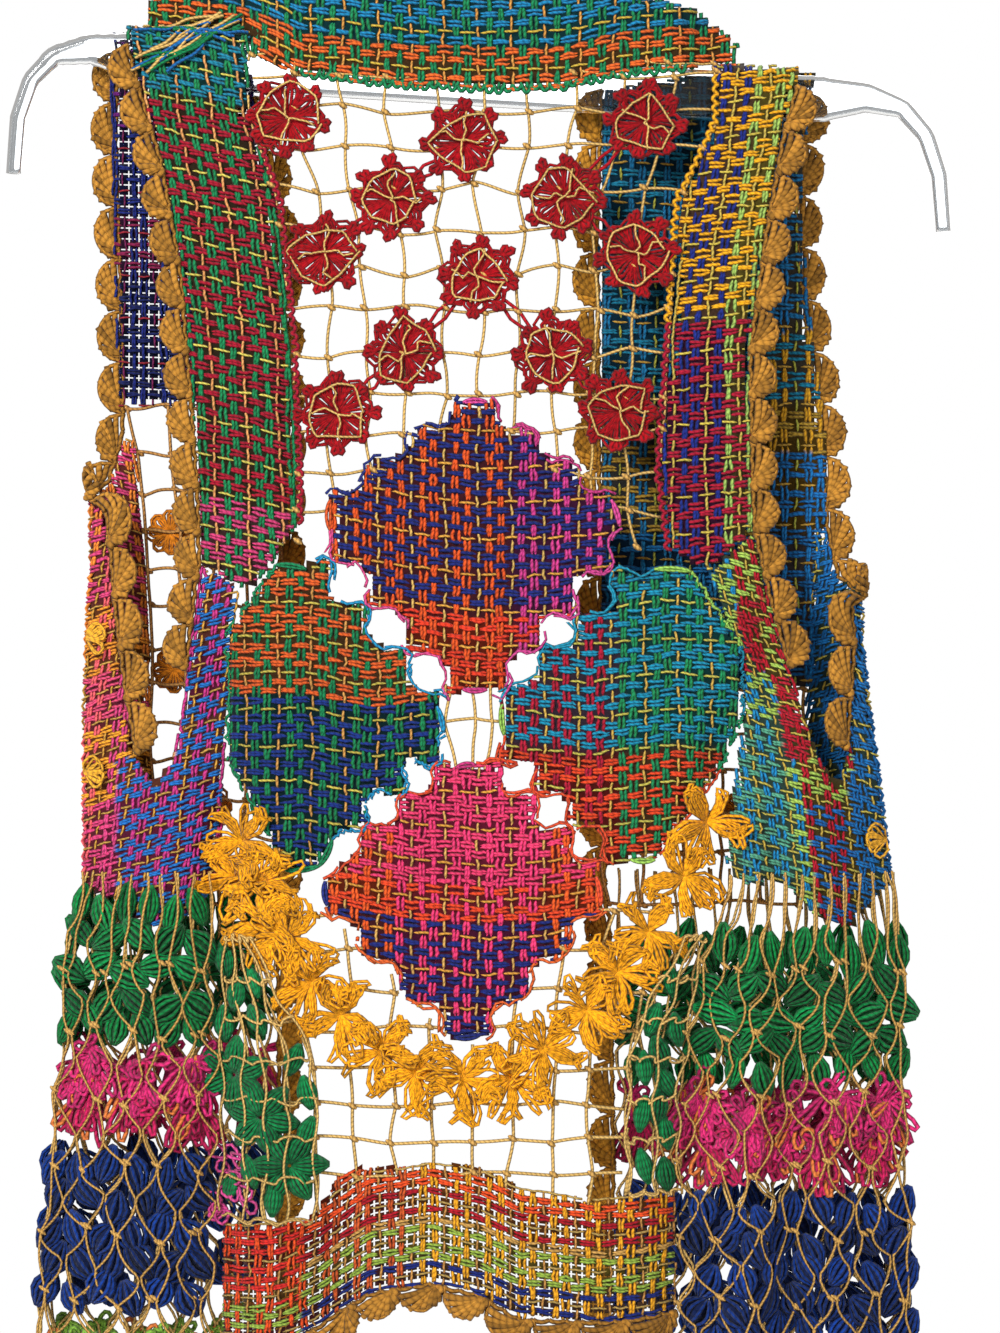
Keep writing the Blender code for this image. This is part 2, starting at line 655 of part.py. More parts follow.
def by_drop(rows):
    """(drop, x) rows turned into (x, drop) rows."""
    return [(x, drop) for drop, x in rows]


garland_gaps = grid_gaps(
    garland_outline, by_drop(GRID_LEFT), by_drop(GRID_RIGHT),
    [474, 492, 510, 528, 546, 562, 578, 594, 610], 8,
    [(x, drop, 13.0) for x, drop in GARLAND],
)
cloth("back_garland_net", garland_outline, BACK, NET_WALL, GOLD, garland_gaps, garland_relief, step=(20, 30))

# Leaf nets beside the garland net
leaf_left = [(-118, 486), (-107.6, 485), (-88.5, 516), (-76.5, 541), (-75, 615), (-118, 617)]
leaf_left_relief = puff_rows(
    [(503, 1, 6, 4, 0), (520, 2, 6.5, 5, 0), (538, 2, 7, 5, 0.1), (556, 3, 7, 5, 0), (574, 2, 6, 4, -0.2)],
    by_drop([(480, -118), (620, -118)]), by_drop([(480, -107), (540, -78), (620, -75)]),
)
leaf_left_gaps = net_rows(
    leaf_left, [(508, 532, 2, 0.5, 0.5), (528, 552, 3, 0.45, 0), (546, 568, 3, 0.45, 0.4),
                (566, 588, 3, 0.55, 0), (585, 608, 3, 0.6, 0.4), (590, 614, 3, 0.5, -0.1)],
    by_drop([(480, -118), (620, -118)]), by_drop([(480, -107), (540, -78), (620, -75)]),
)
cloth("back_leaf_net_left", leaf_left, BACK, NET_WALL, GREEN, leaf_left_gaps, leaf_left_relief, step=(15, 30))
leaf_right = [(98.6, 486), (77.6, 517), (69.6, 544), (69, 604), (91, 603), (92, 560), (96, 520), (104, 486)]
leaf_right_gaps = net_rows(
    leaf_right, [(520, 544, 1, 0.5, 0), (548, 572, 1, 0.6, 0), (574, 598, 1, 0.6, 0)],
    by_drop([(480, 98), (544, 69), (620, 69)]), by_drop([(480, 104), (560, 92), (620, 91)]),
)
cloth("back_leaf_net_right", leaf_right, BACK, NET_WALL, GREEN, leaf_right_gaps, step=(15, 30))

# Hem band, with the waves of its lower edge
hem_outline = [(-118, 617.6), (-74.7, 615.8)] + HEM_TOP[1:] + [(91, 603.6), (91, 658)]
hem_outline += [(56, 661), (19, 659), (1, 648), (-22, 643), (-50, 648), (-72, 663), (-92, 673), (-118, 676)]
cloth("back_hem_band", hem_outline, BACK, WEAVE_WALL, ORANGE, step=(13, 26))

# Side panels: woven gussets round each side fold and under the armhole
SIDE_LEFT_ARM = [
    ("front", -166, 255), ("front", -172, 276), ("back", -173, 290), ("back", -171, 308),
    ("back", -169, 331), ("back", -166, 354), ("back", -163, 377), ("back", -158, 402),
    ("back", -149, 417), ("back", -141, 404), ("back", -136, 380), ("back", -133, 350), ("back", -130, 325),
]
side_left_rows = SIDE_LEFT_ARM + [
    ("back", -127.7, 313.6), ("back", -109.3, 326.6), ("back", -114, 352), ("back", -117.6, 404),
    ("back", -119, 455), ("back", -128, 474), ("back", -151, 482), ("back", -165, 471),
    ("back", -180, 464), ("front", -180, 464), ("front", -160, 470), ("front", -150, 466),
    ("front", -152, 400), ("front", -154, 330), ("front", -158, 280), ("front", -160, 255),
]
FOLD_CREASES = [[(s, 240), (s, 480)] for s in (-FOLD_TURN, -FOLD_HALF, FOLD_HALF, FOLD_TURN)]
cloth("side_panel_left", round_side(-1, side_left_rows), LEFT_SIDE, WEAVE_WALL, MAGENTA,
      creases=FOLD_CREASES, step=(11, 26))
SIDE_RIGHT_ARM = [
    ("front", 162, 296), ("front", 167, 320), ("back", 173.5, 334), ("back", 175, 349),
    ("back", 173, 377), ("back", 171, 400), ("back", 166, 419), ("back", 157, 404),
    ("back", 148, 377), ("back", 141, 354), ("back", 134.5, 331), ("back", 128.6, 306),
]
side_right_rows = SIDE_RIGHT_ARM + [
    ("back", 127, 299.6), ("back", 106.5, 318.6), ("back", 113.6, 340), ("back", 121.9, 352),
    ("back", 122.7, 384), ("back", 116, 430), ("back", 114, 452), ("back", 122, 462),
    ("back", 140, 460), ("back", 152, 474), ("back", 170, 483), ("back", 189, 464),
    ("front", 189, 464), ("front", 160, 470), ("front", 152, 400), ("front", 154, 330), ("front", 156, 296),
]
cloth("side_panel_right", round_side(1, side_right_rows), RIGHT_SIDE, WEAVE_WALL, BLUE,
      creases=FOLD_CREASES, step=(11, 26))

# Skirts: gathered nets with rows of puffs, in a back and a front half at each side
SKIRT_END = 699.0
SKIRT_GAPS = (
    # drop_top, drop_bottom, columns, share of the pitch, shift
    (482, 506, 6, 0.64, 0.0),
    (536, 564, 6, 0.66, 0.25),
    (590, 614, 6, 0.64, 0.0),
    (652, 674, 6, 0.60, 0.25),
)
SKIRT_PUFFS = (
    # drop, count, radius, height, shift
    (512, 6, 9.0, 6.0, 0.5),
    (527, 6, 9.0, 6.0, 0.0),
    (576, 5, 13.0, 6.5, 0.0),
    (622, 6, 9.5, 6.5, 0.5),
    (642, 6, 9.5, 6.5, 0.0),
    (686, 6, 10.0, 5.0, 0.5),
)
skirt_levels = [row[0] for row in SIDE_FOLDS if row[0] > 480] + [SKIRT_END]
left_fold = [(float(read_table(SIDE_FOLDS, d, 1)), d) for d in skirt_levels]
right_fold = [(float(read_table(SIDE_FOLDS, d, 2)), d) for d in skirt_levels]
skirts = (
    # name, surface, fold line, inner edge from the top down, top edge from the fold inwards
    ("back_skirt_left", BACK, left_fold, [(-118.8, 487), (-118.8, 600), (-119, SKIRT_END)],
     [(-184, 465), (-180, 464.6), (-165, 471.8), (-151, 482.8), (-128, 474.8)]),
    ("back_skirt_right", BACK, right_fold,
     [(104.6, 486), (96.6, 520), (92.6, 560), (91.8, 604), (91.8, 660), (96, SKIRT_END)],
     [(193, 466), (189, 464.6), (170, 483.8), (152, 474.8), (140, 460.8), (122, 462.8)]),
    ("front_skirt_left", FRONT, left_fold, [(-96, 474), (-94, 600), (-96, SKIRT_END)],
     [(-184, 465), (-180, 464.6), (-160, 470.8), (-150, 470.8), (-149, 474)]),
    ("front_skirt_right", FRONT, right_fold, [(62, 474), (64, 600), (60, SKIRT_END)],
     [(193, 466), (189, 464.6), (160, 470.8), (151, 474)]),
)
for skirt, layer, fold_line, inner, top in skirts:
    skirt_outline = top + inner + fold_line[::-1]
    skirt_gaps = net_rows(skirt_outline, SKIRT_GAPS, fold_line, inner)
    puffs = puff_rows(SKIRT_PUFFS, fold_line, inner)
    cloth(skirt, skirt_outline, layer, NET_WALL, GREEN, skirt_gaps, puffs, step=(16, 26))

# Fronts: a woven strip from the shoulder and a net with orange flowers, at each side
FRONT_LEFT_ARM = [(-168, 66), (-169, 115), (-168, 147), (-166, 216), (-165.6, 240)]
front_left_open = [(-107, 66), (-104, 110), (-96, 160), (-93, 240)]
front_weave_left = FRONT_LEFT_ARM + front_left_open[::-1]
front_weave_left[0] = (-168, shoulder_drop(-168))
front_weave_left[-1] = (-107, shoulder_drop(-107))
cloth("front_weave_left", front_weave_left, FRONT, WEAVE_WALL, NAVY, creases=crest_creases(-180, -95))
lace_left_edge = [(-165.4, 240.6), (-166, 254.4), (-159.4, 254.4), (-153.4, 330), (-151.4, 400), (-148.4, 473)]
lace_left_open = [(-93, 240.6), (-94, 330), (-96, 473)]
lace_left = lace_left_edge + lace_left_open[::-1]
LACE_FLOWERS = (
    # x, drop, of the left front
    (-136, 300), (-112, 300), (-136, 364), (-112, 364), (-124, 428),
)
lace_relief = []
for flower_x, flower_drop in LACE_FLOWERS:
    lace_relief += flower(flower_x, flower_drop, 6, 8.0, 6.0, 2.6)
lace_levels = [244, 262, 280, 298, 316, 334, 352, 370, 388, 406, 424, 442, 460]
lace_left_gaps = grid_gaps(
    lace_left, lace_left_edge, lace_left_open, lace_levels, 3, [(x, d, 12.0) for x, d in LACE_FLOWERS]
)
cloth("front_lace_left", lace_left, FRONT, NET_WALL, TAN, lace_left_gaps, lace_relief, step=(18, 30))

FRONT_RIGHT_ARM = [(154, 85.6), (150, 115), (148, 147), (150, 179), (153, 207), (158, 239), (161, 271), (162, 295)]
front_right_open = [(107, 83), (58, 92), (56, 160), (58, 372)]
front_weave_right = FRONT_RIGHT_ARM + [(155.4, 295.4), (153.4, 330), (151.8, 372)] + front_right_open[::-1]
front_weave_right[0] = (154, shoulder_drop(154))
front_weave_right[-1] = (107, shoulder_drop(107))
cloth("front_weave_right", front_weave_right, FRONT, WEAVE_WALL, BLUE,
      creases=crest_creases(107, 170), step=(18, 40))
lace_right_edge = [(151.8, 372.6), (151.2, 400), (150.4, 473)]
lace_right_open = [(58, 372.6), (60, 473)]
lace_right = lace_right_open + lace_right_edge[::-1]
lace_right_gaps = grid_gaps(
    lace_right, lace_right_open, lace_right_edge, [376, 394, 412, 430, 448, 466], 5,
    [(90, 412, 12.0), (124, 430, 12.0)],
)
lace_relief = flower(90, 412, 6, 8.0, 6.0, 2.6) + flower(124, 430, 6, 8.0, 6.0, 2.6)
cloth("front_lace_right", lace_right, FRONT, NET_WALL, TAN, lace_right_gaps, lace_relief, step=(18, 30))

# Crochet shell edgings
strap_left_rows = [("back", x, d) for x, d in [(-162, 74)] + STRAP_LEFT_OUT[1:]]
left_inner = strap_left_rows + [("back", -130, 325), ("back", -133, 350), ("back", -134.5, 363)]
left_outer = [("front", x, d) for x, d in [(-168, 74)] + FRONT_LEFT_ARM[1:]] + SIDE_LEFT_ARM[:8]
strap_right_rows = [("back", x, d) for x, d in STRAP_RIGHT_OUT]
strap_right_rows[0] = ("back", 147, 93)
right_inner = strap_right_rows[:-1] + [("back", 127, 299), ("back", 128.6, 306), ("back", 134.5, 331)]
right_inner += [("back", 141, 354), ("back", 143.4, 362)]
right_outer = [("front", x, d) for x, d in [(153.6, 93)] + FRONT_RIGHT_ARM[1:]] + SIDE_RIGHT_ARM[:6]
shell_edging("arm_edging_left_back", round_side(-1, left_inner), LEFT_SIDE, 14, SHELL, 1)
shell_edging("arm_edging_left_front", round_side(-1, left_outer), LEFT_SIDE, 14, SHELL, -1, creases=FOLD_CREASES)
shell_edging("arm_edging_right_back", round_side(1, right_inner), RIGHT_SIDE, 13, SHELL, 1)
shell_edging("arm_edging_right_front", round_side(1, right_outer), RIGHT_SIDE, 13, SHELL, -1, creases=FOLD_CREASES)
left_front_edge = [(-105, 96), (-96, 160), (-93, 240), (-94, 330), (-96, 473), (-94, 600), (-96, SKIRT_END)]
shell_edging("front_edging_left", left_front_edge, FRONT, 24, SHELL, 1)
right_front_edge = [(58, 92), (56, 160), (58, 372), (60, 473), (62, 480), (64, 600), (60, SKIRT_END)]
shell_edging("front_edging_right", right_front_edge, FRONT, 24, SHELL, -1)
hem_line = hem_outline[:-9:-1] + [(91, 658)]
shell_edging("hem_edging", split_line(hem_line, 13), BACK, 10, SHELL, -1)

# Hanger: a clear bar with a round top edge, whose ends turn down
BAR_STATIONS = (
    # distance from the middle, drop of the centre line under the shoulder line, height, depth
    (0, 13.5, 24.0, 10.2),
    (120, 13.5, 24.0, 10.2),
    (160, 12.0, 21.0, 10.2),
    (180, 10.0, 14.0, 9.0),
    (197, 14.0, 9.0, 8.0),
    (208, 26.0, 8.0, 7.0),
    (214, 44.0, 7.5, 6.5),
    (216, 70.0, 7.0, 6.0),
)
BAR_SIDES = 12


def bar_section(place, along, height, depth):
    """A ring with round top and bottom, square to the way the bar runs."""
    up = np.array([-along[1], 0.0, along[0]])
    radius = depth / 2
    straight = max(height - depth, 0.0) / 2
    ring = []
    for i in range(BAR_SIDES):
        turn = 2.0 * math.pi * (i + 0.5) / BAR_SIDES
        lift = radius * math.cos(turn) + math.copysign(straight, math.cos(turn))
        ring.append(place + up * lift + np.array([0.0, radius * math.sin(turn), 0.0]))
    return ring


half_line = [(x, SHOULDER_DROP + d) for x, d, _, _ in BAR_STATIONS]
bar_line = [(-x, d) for x, d in half_line[:0:-1]] + half_line
bar_line = np.array([(x, -(d + TILT * x)) for x, d in bar_line])
bar_sizes = [(h, w) for _, _, h, w in BAR_STATIONS]
bar_sizes = bar_sizes[:0:-1] + bar_sizes
bar_points, bar_faces = [], []
for index, (place_x, place_z) in enumerate(bar_line):
    before = bar_line[max(index - 1, 0)]
    after = bar_line[min(index + 1, len(bar_line) - 1)]
    run = (after - before) / np.linalg.norm(after - before)
    bar_points += bar_section(np.array([place_x, 0.0, place_z]), run, *bar_sizes[index])
for index in range(len(bar_line) - 1):
    for i in range(BAR_SIDES):
        j = (i + 1) % BAR_SIDES
        first = index * BAR_SIDES
        bar_faces.append((first + i, first + j, first + BAR_SIDES + j, first + BAR_SIDES + i))
bar_faces.append(tuple(range(BAR_SIDES))[::-1])
bar_faces.append(tuple(range(len(bar_points) - BAR_SIDES, len(bar_points))))
solid("hanger_bar", bar_points, bar_faces, material("hanger_bar", CLEAR, 0.08, alpha=0.35))

# Hook: bent wire; a rod under its bend bears at the origin
WIRE = 3.4
HOOK_RADIUS = 21.0      # inside the bend
wire_radius = HOOK_RADIUS + WIRE / 2
stem_foot = SHOULDER_DROP + BAR_STATIONS[0][1] - BAR_STATIONS[0][2] / 2 - SEAM
route = [(0.0, stem_foot), (0.0, 64.0), (1.5, 56.0), (7.0, 47.0)]
for degrees in range(-50, 201, 15):
    angle = math.radians(degrees)
    route.append((wire_radius * math.cos(angle), HOOK_RADIUS - wire_radius * math.sin(angle)))
hook_curve = bpy.data.curves.new("hanger_hook", "CURVE")
hook_curve.dimensions = "3D"
hook_curve.bevel_depth = WIRE / 2 * MM
hook_curve.bevel_resolution = 1
hook_curve.use_fill_caps = True
spline = hook_curve.splines.new("POLY")
spline.points.add(len(route) - 1)
for point, (route_x, route_drop) in zip(spline.points, route):
    point.co = (route_x * MM, 0.0, -route_drop * MM, 1.0)
hook_curve.materials.append(material("hanger_hook", STEEL, 0.25, 1.0))
hook = bpy.data.objects.new("hanger_hook", hook_curve)
bpy.context.scene.collection.objects.link(hook)
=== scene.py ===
"""Yarns, nets and finishes of an open-front vest of woven strips, diamonds and flower nets.

Cloth sizes are in millimetres: x across the vest, and drop, the depth under the hook's bearing
point. The back of the vest faces -Y, the fronts +Y.
"""

import math

import bpy
import numpy as np
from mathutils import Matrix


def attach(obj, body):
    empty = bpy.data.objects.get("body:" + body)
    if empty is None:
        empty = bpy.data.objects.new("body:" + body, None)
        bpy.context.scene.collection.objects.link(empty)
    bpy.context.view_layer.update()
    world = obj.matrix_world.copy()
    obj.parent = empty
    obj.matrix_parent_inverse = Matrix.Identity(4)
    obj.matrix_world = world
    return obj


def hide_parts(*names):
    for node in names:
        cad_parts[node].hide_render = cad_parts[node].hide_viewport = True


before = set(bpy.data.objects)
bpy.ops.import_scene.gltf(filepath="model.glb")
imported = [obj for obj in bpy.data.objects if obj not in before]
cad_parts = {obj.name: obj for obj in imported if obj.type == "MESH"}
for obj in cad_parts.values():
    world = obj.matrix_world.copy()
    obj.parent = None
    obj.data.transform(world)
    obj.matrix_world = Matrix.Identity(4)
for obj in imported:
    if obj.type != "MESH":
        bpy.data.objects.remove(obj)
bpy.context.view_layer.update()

# Neck band
# A loom-woven strip in doubled cotton, green warp with blue and orange weft, that stands behind
# the neck. Its ends lie on the shoulders, and the net is worked onto its lower edge.
SIDE_FOLDS = (
    # drop, left_x, right_x
    (60, -184, 170), (147, -184, 168), (193, -183, 169), (248, -182, 174), (280, -180, 177),
    (313, -180, 178), (349, -182, 178), (377, -183, 181), (414, -183, 186), (466, -183, 192),
    (492, -191, 196), (540, -192, 196), (598, -199, 197), (630, -201, 199), (700, -207, 200),
)
LAYER_DEPTH = (
    # drop, back, front
    (40, 12.0, 7.2), (80, 8.6, 7.2), (110, 9.5, 8.0), (150, 12.0, 10.0),
    (280, 19.0, 17.0), (400, 25.0, 22.0), (500, 29.0, 25.0), (700, 34.0, 29.0),
)
FOLDS = (
    # layer, x_top, drop_top, x_bottom, drop_bottom, half_width, height
    ("back", -119, 330, -121, 700, 13, -15), ("back", -160, 430, -163, 700, 26, 7),
    ("back", -97, 500, -96, 700, 17, 9), ("back", -66, 590, -68, 700, 11, -9),
    ("back", 118, 370, 92, 700, 14, -15), ("back", 128, 400, 121, 700, 11, 6),
    ("back", 134, 330, 146, 700, 10, -11), ("back", 150, 300, 170, 700, 16, 7),
    ("back", 5, 560, 10, 700, 30, 5), ("front", -132, 240, -150, 700, 14, -10),
    ("front", -105, 260, -110, 700, 18, 7), ("front", 78, 200, 96, 700, 14, -10),
    ("front", 120, 240, 140, 700, 20, 8),
)
FOLD_FADE = 45.0
FOLD_HALF = 1.15
FALL_FROM, FALL_FULL = 150.0, 300.0
OVER_BAR, AT_BAR = 6.5, 0.15
SHOULDER_FROM, SHOULDER_FULL = 90.0, 107.0
BAR_DROP, BAR_TILT = 76.0, 0.0626
RIPPLE, RIPPLE_ACROSS, RIPPLE_DOWN = 0.7, 15.0, 23.0
MM = 0.001


def read_table(table, place, column):
    """A table's column at a place in its first column, on straight lines between its rows."""
    rows = np.array(table, dtype=float)
    return np.interp(place, rows[:, 0], rows[:, column])


def shoulder_drop(x):
    """Drop of the shoulder line: BAR_DROP, and BAR_TILT of x more as the hanger tilts."""
    return BAR_DROP + BAR_TILT * x


def smooth_step(low, high, value):
    """t * t * (3 - 2 t), with t from 0 at low to 1 at high."""
    t = np.clip((value - low) / (high - low), 0.0, 1.0)
    return t * t * (3.0 - 2.0 * t)


def hung(side):
    """Surface of the back (-1) or the fronts (1): (x, drop, height) to points and the way out.

    The layer stands off the hanger's plane by its table and its folds, each height *
    exp(-(distance / half_width)^2), and falls to the side folds as 1 - |u|^4, where u goes from
    -1 at one fold to 1 at the other. On the shoulders it follows a quarter round over the bar.
    Small ripples, RIPPLE * sin(x / RIPPLE_ACROSS) * sin(drop / RIPPLE_DOWN), keep it uneven.
    """
    layer = "back" if side < 0 else "front"
    depth_column = 1 if side < 0 else 2

    def surface(x, drop, height=0.0):
        left, right = read_table(SIDE_FOLDS, drop, 1), read_table(SIDE_FOLDS, drop, 2)
        u = (x - (left + right) / 2) / ((right - left) / 2)
        falling = smooth_step(FALL_FROM, FALL_FULL, drop) * np.minimum(np.abs(u), 1.0) ** 4
        depth = read_table(LAYER_DEPTH, drop, depth_column)
        for name, x_top, drop_top, x_bottom, drop_bottom, half_width, rise in FOLDS:
            if name == layer:
                line = x_top + (x_bottom - x_top) * (drop - drop_top) / (drop_bottom - drop_top)
                fade = smooth_step(-FOLD_FADE / 2, FOLD_FADE, drop - drop_top)
                depth = depth + rise * fade * np.exp(-(((x - line) / half_width) ** 2))
        depth = depth + (RIPPLE * smooth_step(110, 150, drop)
                         * np.sin(x / RIPPLE_ACROSS) * np.sin(drop / RIPPLE_DOWN))
        depth = FOLD_HALF + (depth - FOLD_HALF) * (1.0 - falling)
        over = smooth_step(SHOULDER_FROM, SHOULDER_FULL, np.abs(x))
        t = np.clip((drop - shoulder_drop(x)) / OVER_BAR, 0.0, 1.0)
        arc = np.sqrt(np.maximum(1.0 - (1.0 - t) ** 2, 0.0))
        depth = AT_BAR + (depth - AT_BAR) * (1.0 - over * (1.0 - arc))
        rise = over * (1.0 - t) * (drop > shoulder_drop(x) - 0.3)
        way = np.stack([np.zeros_like(x), side * np.sqrt(1.0 - rise ** 2), rise], axis=-1)
        points = np.stack([x, side * depth, -drop], axis=-1)
        return points + way * np.expand_dims(height + np.zeros_like(x), -1), way

    return surface


BACK = hung(-1)
FRONT = hung(1)


def inside(x, drop, polygon):
    """True where a point is inside a polygon: an odd number of its sides lies to the right."""
    a = np.asarray(polygon, dtype=float)
    count = np.zeros(x.shape, dtype=int)
    for (x0, d0), (x1, d1) in zip(a, np.roll(a, -1, axis=0)):
        if d0 != d1:
            crossing = x0 + (drop - d0) * (x1 - x0) / (d1 - d0)
            count += ((d0 > drop) != (d1 > drop)) & (x < crossing)
    return count % 2 == 1


def dye(text):
    """A yarn's colour from its dye card, six hexadecimal digits, as linear red, green and blue."""
    value = np.array([int(text[i:i + 2], 16) for i in (0, 2, 4)]) / 255.0
    return np.where(value <= 0.04045, value / 12.92, ((value + 0.055) / 1.055) ** 2.4)


# Share of its dye a yarn keeps at its sides: painted shade where the yarns meet.
FLANK_SHADE = 0.35


def spun(laid, radius, colour, keep=None, sides=4):
    """Yarns as tubes: S centre lines of N points, laid out as (points, way out).

    A ring is centre + radius * (cos(t) * across + sin(t) * up). Rings that keep leaves out end
    the yarn, and each end is closed. Painted shade darkens the yarn's sides: their dye is
    multiplied by s + (1 - s) * |sin(t)|, with s = 0.35 kept at the sides, darkest where yarns meet.
    """
    centre, way = (np.asarray(a, dtype=float) for a in laid)
    centre, way = centre.reshape(-1, *centre.shape[-2:]), way.reshape(-1, *way.shape[-2:])
    count, steps = centre.shape[:2]
    keep = np.ones((count, steps), bool) if keep is None else keep.reshape(count, steps)
    near = np.zeros_like(keep)
    near[:, :-1] |= keep[:, 1:]
    near[:, 1:] |= keep[:, :-1]
    keep = keep & near
    along = np.gradient(centre, axis=1)
    along /= np.maximum(np.linalg.norm(along, axis=2, keepdims=True), 1e-9)
    across = np.cross(along, way)
    across /= np.maximum(np.linalg.norm(across, axis=2, keepdims=True), 1e-9)
    up = np.cross(across, along)
    turn = 2.0 * math.pi * np.arange(sides) / sides
    radius = np.atleast_1d(np.asarray(radius, dtype=float))
    radius = radius[:, None] if radius.ndim == 1 else radius.reshape(-1, radius.shape[-1])
    radius = np.broadcast_to(radius, (count, steps))[:, :, None, None]
    ring = centre[:, :, None] + radius * (
        np.cos(turn)[:, None] * across[:, :, None] + np.sin(turn)[:, None] * up[:, :, None])
    length = np.cumsum(np.linalg.norm(np.diff(centre, axis=1, prepend=centre[:, :1]), axis=2), axis=1)
    index = np.arange(count * steps * sides).reshape(count, steps, sides)
    link = keep[:, :-1] & keep[:, 1:]
    after = np.roll(index, -1, axis=2)
    walls = np.stack([index[:, :-1], index[:, 1:], after[:, 1:], after[:, :-1]], axis=-1)
    u0 = np.broadcast_to(np.arange(sides) / sides, (count, steps - 1, sides))
    u1 = u0 + 1.0 / sides
    v0 = np.broadcast_to(length[:, :-1, None], u0.shape)
    v1 = np.broadcast_to(length[:, 1:, None], u0.shape)
    uv = np.stack([np.stack([u0, v0], -1), np.stack([u0, v1], -1), np.stack([u1, v1], -1),
                   np.stack([u1, v0], -1)], axis=3)[link].reshape(-1, 4, 2)
    starts, ends = keep.copy(), keep.copy()
    starts[:, 1:] &= ~keep[:, :-1]
    ends[:, :-1] &= ~keep[:, 1:]
    caps = []
    for first in range(0, sides - 2, 2):
        corners = [0, first + 1, first + 2, first + 3]
        caps += [index[starts][:, corners], index[ends][:, corners[::-1]]]
    caps = np.concatenate(caps)
    colour = np.asarray(colour, dtype=float)
    colour = colour.reshape(count, steps, 1, 3) if colour.ndim > 2 else colour.reshape(-1, 1, 1, 3)
    # Painted shade on the sides of each yarn.
    flank = (FLANK_SHADE + (1.0 - FLANK_SHADE) * np.abs(np.sin(turn)))[:, None]
    shade = (np.broadcast_to(colour, (count, steps, sides, 3)) * flank).reshape(-1, 3)
    return {
        "points": ring.reshape(-1, 3), "faces": np.concatenate([walls[link].reshape(-1, 4), caps]),
        "shade": shade, "uv": np.concatenate([uv, np.zeros((len(caps), 4, 2))]),
    }


def made(name, parts, finish):
    """One object, in metres, from yarns: points, four-sided faces, dye with its painted shade, and yarn map
    end to end.
    """
    starts = np.cumsum([0] + [len(part["points"]) for part in parts])
    faces = np.concatenate([part["faces"] + start for part, start in zip(parts, starts)])
    points, shade, uv = (np.concatenate([part[kind] for part in parts]) for kind in ("points", "shade", "uv"))
    used, faces = np.unique(faces, return_inverse=True)
    faces = faces.reshape(-1, 4)
    mesh = bpy.data.meshes.new(name)
    mesh.vertices.add(len(used))
    mesh.vertices.foreach_set("co", (points[used] * MM).ravel())
    mesh.loops.add(faces.size)
    mesh.loops.foreach_set("vertex_index", faces.ravel())
    mesh.polygons.add(len(faces))
    mesh.polygons.foreach_set("loop_start", np.arange(0, faces.size, 4))
    mesh.polygons.foreach_set("use_smooth", np.ones(len(faces), bool))
    mesh.update(calc_edges=True)
    # The dye attribute holds each yarn's dye with painted shade on its sides, or the tint of a painted shadow
    # sheet.
    mesh.attributes.new("dye", "FLOAT_COLOR", "POINT")
    rgba = np.concatenate([shade[used], np.ones((len(used), 1))], axis=1)
    mesh.attributes["dye"].data.foreach_set("color", rgba.ravel())
    mesh.uv_layers.new(name="yarn")
    mesh.uv_layers["yarn"].data.foreach_set("uv", uv.ravel())
    mesh.materials.append(finish)
    mesh.validate()
    piece = bpy.data.objects.new(name, mesh)
    bpy.context.scene.collection.objects.link(piece)
    return piece


def worn(slot, *pieces):
    """The pieces hang in the vest's one body. The slot is not used."""
    for piece in pieces:
        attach(piece, "root")


def maths(tree, operation, first, second=0.5, third=None):
    """One Math node; an input is a number or another node's output."""
    node = tree.nodes.new("ShaderNodeMath")
    node.operation = operation
    for socket, value in zip(node.inputs, (first, second, third)):
        if isinstance(value, bpy.types.NodeSocket):
            tree.links.new(value, socket)
        elif value is not None:
            socket.default_value = value
    return node.outputs[0]


def speckle(tree, scale, detail=2.0):
    """Noise of a scale on the piece's own coordinates, from 0 to 1."""
    spot = tree.nodes.new("ShaderNodeTexCoord")
    noise = tree.nodes.new("ShaderNodeTexNoise")
    noise.inputs["Scale"].default_value = scale
    noise.inputs["Detail"].default_value = detail
    tree.links.new(spot.outputs["Object"], noise.inputs["Vector"])
    return noise.outputs["Fac"]


def new_finish(name, **values):
    """A finish with values on its shader's own sockets: the material, its tree and its shader."""
    finish = bpy.data.materials.new(name)
    finish.use_nodes = True
    shader = finish.node_tree.nodes["Principled BSDF"]
    for socket, value in values.items():
        shader.inputs[socket.replace("_", " ")].default_value = value
    return finish, finish.node_tree, shader


def dyed(tree, shader, shade):
    """The piece's dye attribute, painted shade included, times a shade factor, as the base colour."""
    colour = tree.nodes.new("ShaderNodeAttribute")
    colour.attribute_name = "dye"
    shaded = tree.nodes.new("ShaderNodeVectorMath")
    shaded.operation = "SCALE"
    tree.links.new(colour.outputs["Color"], shaded.inputs[0])
    tree.links.new(shade, shaded.inputs["Scale"])
    tree.links.new(shaded.outputs[0], shader.inputs["Base Color"])


def raised(tree, shader, height, depth, strength=1.0):
    """A bump of a depth in metres, on the shader's normal."""
    bump = tree.nodes.new("ShaderNodeBump")
    bump.inputs["Strength"].default_value = strength
    bump.inputs["Distance"].default_value = depth
    tree.links.new(height, bump.inputs["Height"])
    tree.links.new(bump.outputs["Normal"], shader.inputs["Normal"])


